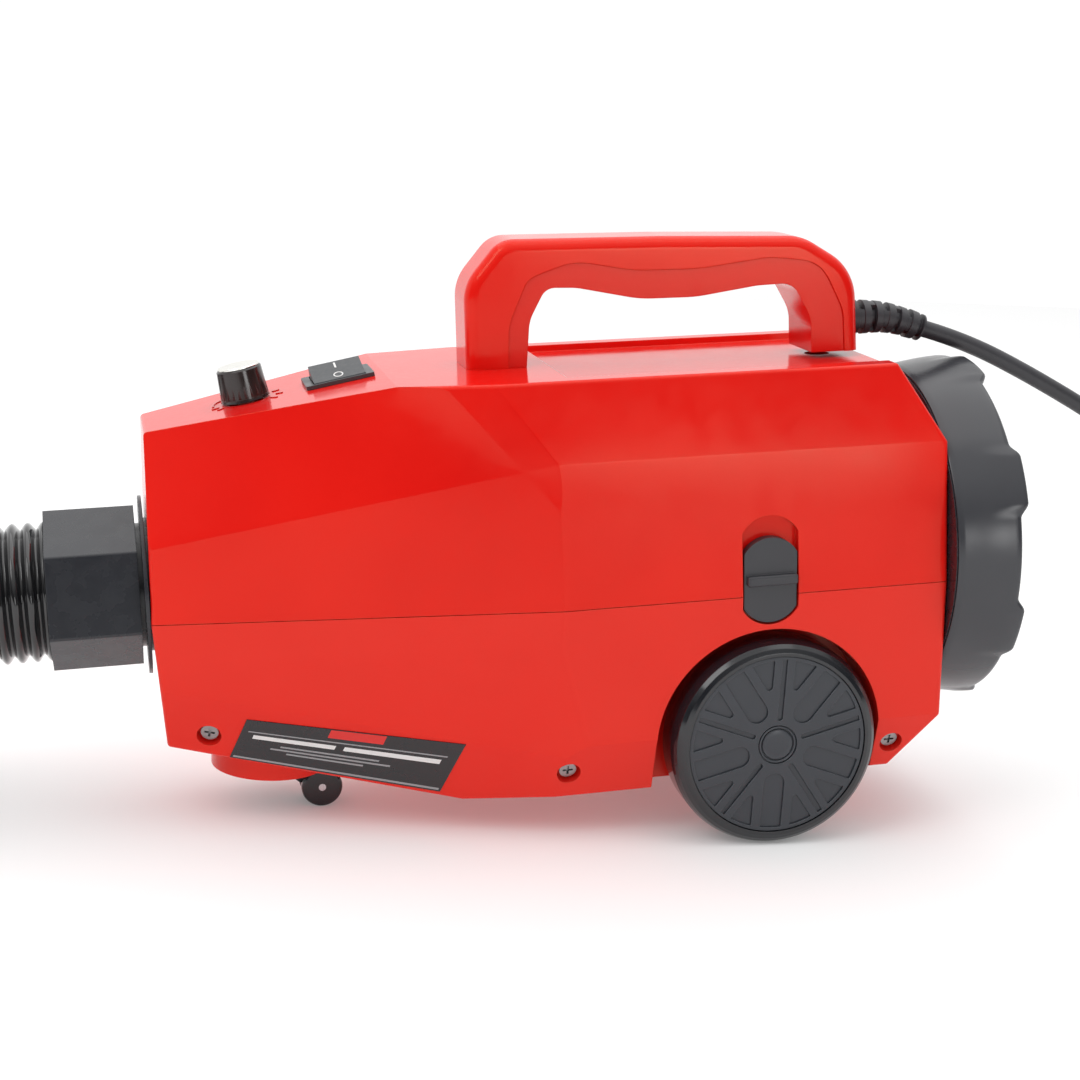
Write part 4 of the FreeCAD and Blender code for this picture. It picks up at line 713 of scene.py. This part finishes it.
def wheel_face(sign, nm, body):
    cu = bpy.data.curves.new("face_" + nm, "CURVE")
    cu.dimensions = "2D"
    cu.fill_mode = "BOTH"
    B, T = 0.00022, 0.00105
    cu.bevel_depth = B
    cu.bevel_resolution = 1
    cu.offset = -B
    cu.extrude = T / 2 - B
    k_ = 0.001
    outline(cu, [tuple(k_ * v for v in pol(42.7, 360 * i / 120)) for i in range(120)])
    outline(cu, [tuple(k_ * v for v in pol(9.5, 360 * i / 48)) for i in range(48)])
    for q in range(5):
        # narrow slots
        sl = rounded([(11.8, -1.25), (41.2, -1.25), (41.2, 1.25), (11.8, 1.25)], [1.2, 0.2, 0.2, 1.2])
        outline(cu, [(x * k_, y * k_) for x, y in turned(sl, 90 + 72 * q)])
        # wide pockets, round at the hub end, on the rim's curve at the other
        en = [(math.cos(math.asin(y / 41.0)) * 41.0, y) for y in (-5.1, -2.5, 0.0, 2.5, 5.1)]
        u_ = rounded([(14.2, -5.1)] + en + [(14.2, 5.1)], [4.9, 0.4, 0, 0, 0, 0.4, 4.9], 8)
        outline(cu, [(x * k_, y * k_) for x, y in turned(u_, 54 + 72 * q)])
        # three-sided pockets on both flanks of each slot
        for sd in (1, -1):
            x0 = (9.6 + 5.0 * math.cos(math.radians(36))) / math.sin(math.radians(36))
            a0_ = math.degrees(math.asin(5.0 / 41.0))
            a1_ = 36 - math.degrees(math.asin(9.6 / 41.0))
            tr = [(x0, 5.0)] + [pol(41.0, a0_ + (a1_ - a0_) * i / 4) for i in range(5)]
            tr = rounded(tr, [1.5, 0.5, 0, 0, 0, 0.5], 5)
            tr = [(x, y * sd) for x, y in tr]
            if sd < 0:
                tr = tr[::-1]
            outline(cu, [(x * k_, y * k_) for x, y in turned(tr, 90 + 72 * q)])
    tmp = bpy.data.objects.new("face_tmp", cu)
    bpy.context.scene.collection.objects.link(tmp)
    bpy.context.view_layer.update()
    me0 = bpy.data.meshes.new_from_object(tmp.evaluated_get(bpy.context.evaluated_depsgraph_get()))
    import bmesh
    bm = bmesh.new()
    bm.from_mesh(me0)
    bmesh.ops.remove_doubles(bm, verts=bm.verts, dist=2e-6)
    y0 = FACE_Y - T / 2
    for v in bm.verts:
        x, z_, h = v.co
        v.co = Vector((WCX + x, sign * (y0 + h), WCZ + z_))
    bmesh.ops.recalc_face_normals(bm, faces=bm.faces)
    me = bpy.data.meshes.new("wheel_face_" + nm)
    bm.to_mesh(me)
    bm.free()
    bpy.data.objects.remove(tmp)
    bpy.data.meshes.remove(me0)
    o = bpy.data.objects.new("wheel_face_" + nm, me)
    bpy.context.scene.collection.objects.link(o)
    me.materials.append(M["disc"])
    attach(o, body)
    # pocket floor, hub button, rim, barrel and hub in one turning
    pr = [(0.05, 0.10), (4.0, 0.16), (6.9, 0.30), (7.25, 0.48), (7.4, 0.75), (7.4, 1.35), (7.9, 1.35), (7.9, 0.55), (8.1, 0.25), (8.35, 0.10), (8.6, 0.10), (8.85, 0.25), (9.0, 0.55), (9.0, 1.05),
          (42.55, 1.05), (42.7, 1.25), (42.7, 4.0), (39.2, 4.0), (39.2, 23.0), (36.2, 23.0), (36.2, 5.6), (11.0, 5.6), (11.0, 26.4), (4.1, 26.4), (4.1, 8.4), (0.05, 8.4)]
    vs_, fs_ = capped([(r * 0.001, t * 0.001) for r, t in pr], (WCX, sign * FACE_Y, WCZ), (0, -sign, 0), 96)
    br = mesh("wheel_barrel_" + nm, vs_, fs_, "disc", body, sharp=35)
    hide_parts("wheel_disc_" + nm)
    return o, br


wheel_face(-1, "right", "wheel_right")
wheel_face(1, "left", "wheel_left")

# ------------------------------------------------------------------ rear cap: bell with seven soft lobes on its rim, open grille behind
CX0 = 0.3623 + 0.006
CZ = 0.1315
CAPL = 25.0
LOBE = [51.43 * k + 12.0 for k in range(7)]


def lobe_w(deg):
    best = min(abs((deg - c_ + 180.0) % 360.0 - 180.0) for c_ in LOBE)
    if best <= 7.6:
        return 1.0
    if best >= 12.4:
        return 0.0
    f = (best - 7.6) / 4.8
    return 1.0 - f * f * (3 - 2 * f)


NA = 420
vs, fs = [], []
for k in range(NA):
    deg = 360.0 * k / NA
    w_ = lobe_w(deg)
    a = math.radians(deg)
    e = CAPL + 3.7 * w_
    pr = [(-5.3, 79.5), (-5.3, 80.0), (-4.7, 80.4), (-2.0, 80.8), (2.0, 81.3), (6.0, 81.9), (10.0, 82.5 + 0.10 * w_), (14.0, 83.0 + 0.35 * w_), (18.0, 83.4 + 0.75 * w_), (21.0, 83.6 + 1.1 * w_),
          (e - 2.6, 83.7 + 1.3 * w_), (e - 1.3, 83.6 + 1.3 * w_), (e - 0.5, 83.2 + 1.25 * w_), (e, 82.5 + 1.1 * w_), (e, 81.0), (e - 0.5, 80.3), (e - 1.6, 80.0), (CAPL - 3.4, 79.9), (1.0, 79.4)]
    for t, r in pr:
        vs.append(bw(CX0 + t * 0.001, -r * 0.001 * math.sin(a), CZ + r * 0.001 * math.cos(a)))
m_ = len(pr)
for k in range(NA):
    q = (k + 1) % NA
    for i in range(m_):
        j = (i + 1) % m_
        fs.append((k * m_ + i, q * m_ + i, q * m_ + j, k * m_ + j))


def ring_x(r0, r1, t0, t1, seg, vs, fs):
    b0 = len(vs)
    cr = 0.5
    sec = [(t0, r0 + cr), (t0 + cr, r0), (t1 - cr, r0), (t1, r0 + cr), (t1, r1 - cr), (t1 - cr, r1), (t0 + cr, r1), (t0, r1 - cr)]
    for k in range(seg):
        a = 2 * math.pi * k / seg
        for t, r in sec:
            vs.append(bw(CX0 + t * 0.001, -r * 0.001 * math.sin(a), CZ + r * 0.001 * math.cos(a)))
    for k in range(seg):
        q = (k + 1) % seg
        for i in range(8):
            j = (i + 1) % 8
            fs.append((b0 + k * 8 + i, b0 + k * 8 + j, b0 + q * 8 + j, b0 + q * 8 + i))


for r_ in (14, 24, 34, 44, 54, 64, 74):
    ring_x(r_, r_ + 3.0, 22.4, 25.0, 96, vs, fs)
# hub button of the grille
b0 = len(vs)
sec = [(22.4, 0.05), (22.4, 7.6), (22.9, 8.0), (25.2, 8.0), (25.8, 7.2), (26.1, 4.5), (26.2, 0.05)]
for k in range(48):
    a = 2 * math.pi * k / 48
    for t, r in sec:
        vs.append(bw(CX0 + t * 0.001, -r * 0.001 * math.sin(a), CZ + r * 0.001 * math.cos(a)))
for k in range(48):
    q = (k + 1) % 48
    for i in range(6):
        fs.append((b0 + k * 7 + i, b0 + k * 7 + i + 1, b0 + q * 7 + i + 1, b0 + q * 7 + i))
# spokes
for c_ in LOBE:
    a = math.radians(c_)
    b0 = len(vs)
    ry, rz = -math.sin(a), math.cos(a)
    ty, tz = -math.cos(a), -math.sin(a)
    for t in (22.4, 24.95):
        for rr, hw in ((6.0, 1.8), (6.0, -1.8), (80.2, -1.8), (80.2, 1.8)):
            vs.append(bw(CX0 + t * 0.001, (ry * rr + ty * hw) * 0.001, CZ + (rz * rr + tz * hw) * 0.001))
    fs += [(b0, b0 + 1, b0 + 2, b0 + 3), (b0 + 7, b0 + 6, b0 + 5, b0 + 4)] + [(b0 + i, b0 + (i + 1) % 4 + 0, b0 + 4 + (i + 1) % 4, b0 + 4 + i) for i in range(4)]
import bmesh
capm = mesh("cap_moulding", vs, fs, "black_cap", "filter_cap")
bm = bmesh.new()
bm.from_mesh(capm.data)
bmesh.ops.recalc_face_normals(bm, faces=bm.faces)
bm.to_mesh(capm.data)
bm.free()
capm.data.polygons.foreach_set("use_smooth", [True] * len(capm.data.polygons))
capm.data.set_sharp_from_angle(angle=math.radians(50))
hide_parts("rear_cap")

# ------------------------------------------------------------------ floor, light, camera
fl = bpy.data.meshes.new("floor")
S = 2.4
fl.from_pydata([(-S, -S, 0), (S, -S, 0), (S, S, 0), (-S, S, 0)], [], [(0, 1, 2, 3)])
floor = bpy.data.objects.new("floor", fl)
bpy.context.scene.collection.objects.link(floor)
fm, fnt, fb = new_mat("floor")
fb.inputs["Base Color"].default_value = (0.80, 0.80, 0.80, 1)
fb.inputs["Emission Color"].default_value = (1, 1, 1, 1)
fb.inputs["Emission Strength"].default_value = 0.16
fb.inputs["Roughness"].default_value = 0.9
fb.inputs["Specular IOR Level"].default_value = 0.0
fl.materials.append(fm)


def area(name, loc, target, size, power, col=(1, 1, 1), size_y=None, shape="RECTANGLE"):
    li = bpy.data.lights.new(name, "AREA")
    li.shape = shape
    li.size = size
    li.size_y = size_y or size
    li.energy = power
    li.color = col
    o = bpy.data.objects.new(name, li)
    o.location = loc
    o.rotation_euler = (Vector(target) - Vector(loc)).to_track_quat("-Z", "Y").to_euler()
    bpy.context.scene.collection.objects.link(o)
    return o


area("overhead", (0.1, 0.3, 2.0), (0, 0, 0.1), 2.6, 17, size_y=2.2)
area("key_left", (-1.6, -1.1, 1.9), (0, 0, 0.12), 1.0, 13, size_y=1.4)
area("low_right", (0.76, -2.2, 0.32), (0.15, 0, 0.12), 0.6, 4.5, size_y=0.5)

w = bpy.data.worlds.new("studio")
bpy.context.scene.world = w
w.use_nodes = True
wn = w.node_tree
wn.nodes.clear()
wo = wn.nodes.new("ShaderNodeOutputWorld")
bg = wn.nodes.new("ShaderNodeBackground")
wn.links.new(bg.outputs[0], wo.inputs[0])
tcw = wn.nodes.new("ShaderNodeTexCoord")
sep = wn.nodes.new("ShaderNodeSeparateXYZ")
wn.links.new(tcw.outputs["Generated"], sep.inputs[0])
# paler above and behind, darker low in front, as a white cove with an open front
mz = maprange(wn, sep.outputs[2], 0.18, 0.75, 0.10, 1.06)
my = maprange(wn, sep.outputs[1], -0.26, 0.02, 0.10, 1.06)
sm = math2(wn, "MAXIMUM", mz, my)
cmb = wn.nodes.new("ShaderNodeCombineColor")
for i in range(3):
    wn.links.new(sm, cmb.inputs[i])
wn.links.new(cmb.outputs[0], bg.inputs[0])
bg.inputs[1].default_value = 1.0
# seen directly, the cove is plain white all round
bg2 = wn.nodes.new("ShaderNodeBackground")
bg2.inputs[0].default_value = (1, 1, 1, 1)
bg2.inputs[1].default_value = 1.04
lp = wn.nodes.new("ShaderNodeLightPath")
mxs = wn.nodes.new("ShaderNodeMixShader")
wn.links.new(lp.outputs["Is Camera Ray"], mxs.inputs[0])
wn.links.new(bg.outputs[0], mxs.inputs[1])
wn.links.new(bg2.outputs[0], mxs.inputs[2])
wn.links.new(mxs.outputs[0], wo.inputs[0])

# camera from the fitted view of the case, carried over with its lean
az, el, roll, F = -0.219952, 0.247475, -0.016687, 1963.10
CAMP = (-0.015715, -0.890255, 0.367627)
az, el, roll = -0.2199512, 0.2474786, -0.0166865
CAMP = (-0.0157151, -0.8902553, 0.3676269)
b_ = Vector((math.sin(az) * math.cos(el), -math.cos(az) * math.cos(el), math.sin(el)))
f_ = -b_
r_ = f_.cross(Vector((0, 0, 1))).normalized()
u_ = r_.cross(f_)
r2 = r_ * math.cos(roll) + u_ * math.sin(roll)
u2 = -r_ * math.sin(roll) + u_ * math.cos(roll)
r2, u2, b2 = bd(*r2), bd(*u2), bd(*b_)
cam = bpy.data.cameras.new("camera")
cam.sensor_fit = "AUTO"
cam.sensor_width = 36.0
cam.lens = F / 1080.0 * 36.0
cam.clip_start = 0.02
cam.clip_end = 60.0
co = bpy.data.objects.new("camera", cam)
bpy.context.scene.collection.objects.link(co)
m3 = Matrix((r2, u2, b2)).transposed()
co.matrix_world = Matrix.Translation(bw(*CAMP)) @ m3.to_4x4()
bpy.context.scene.camera = co
bpy.context.scene.view_settings.view_transform = "Standard"
bpy.context.scene.view_settings.look = "None"
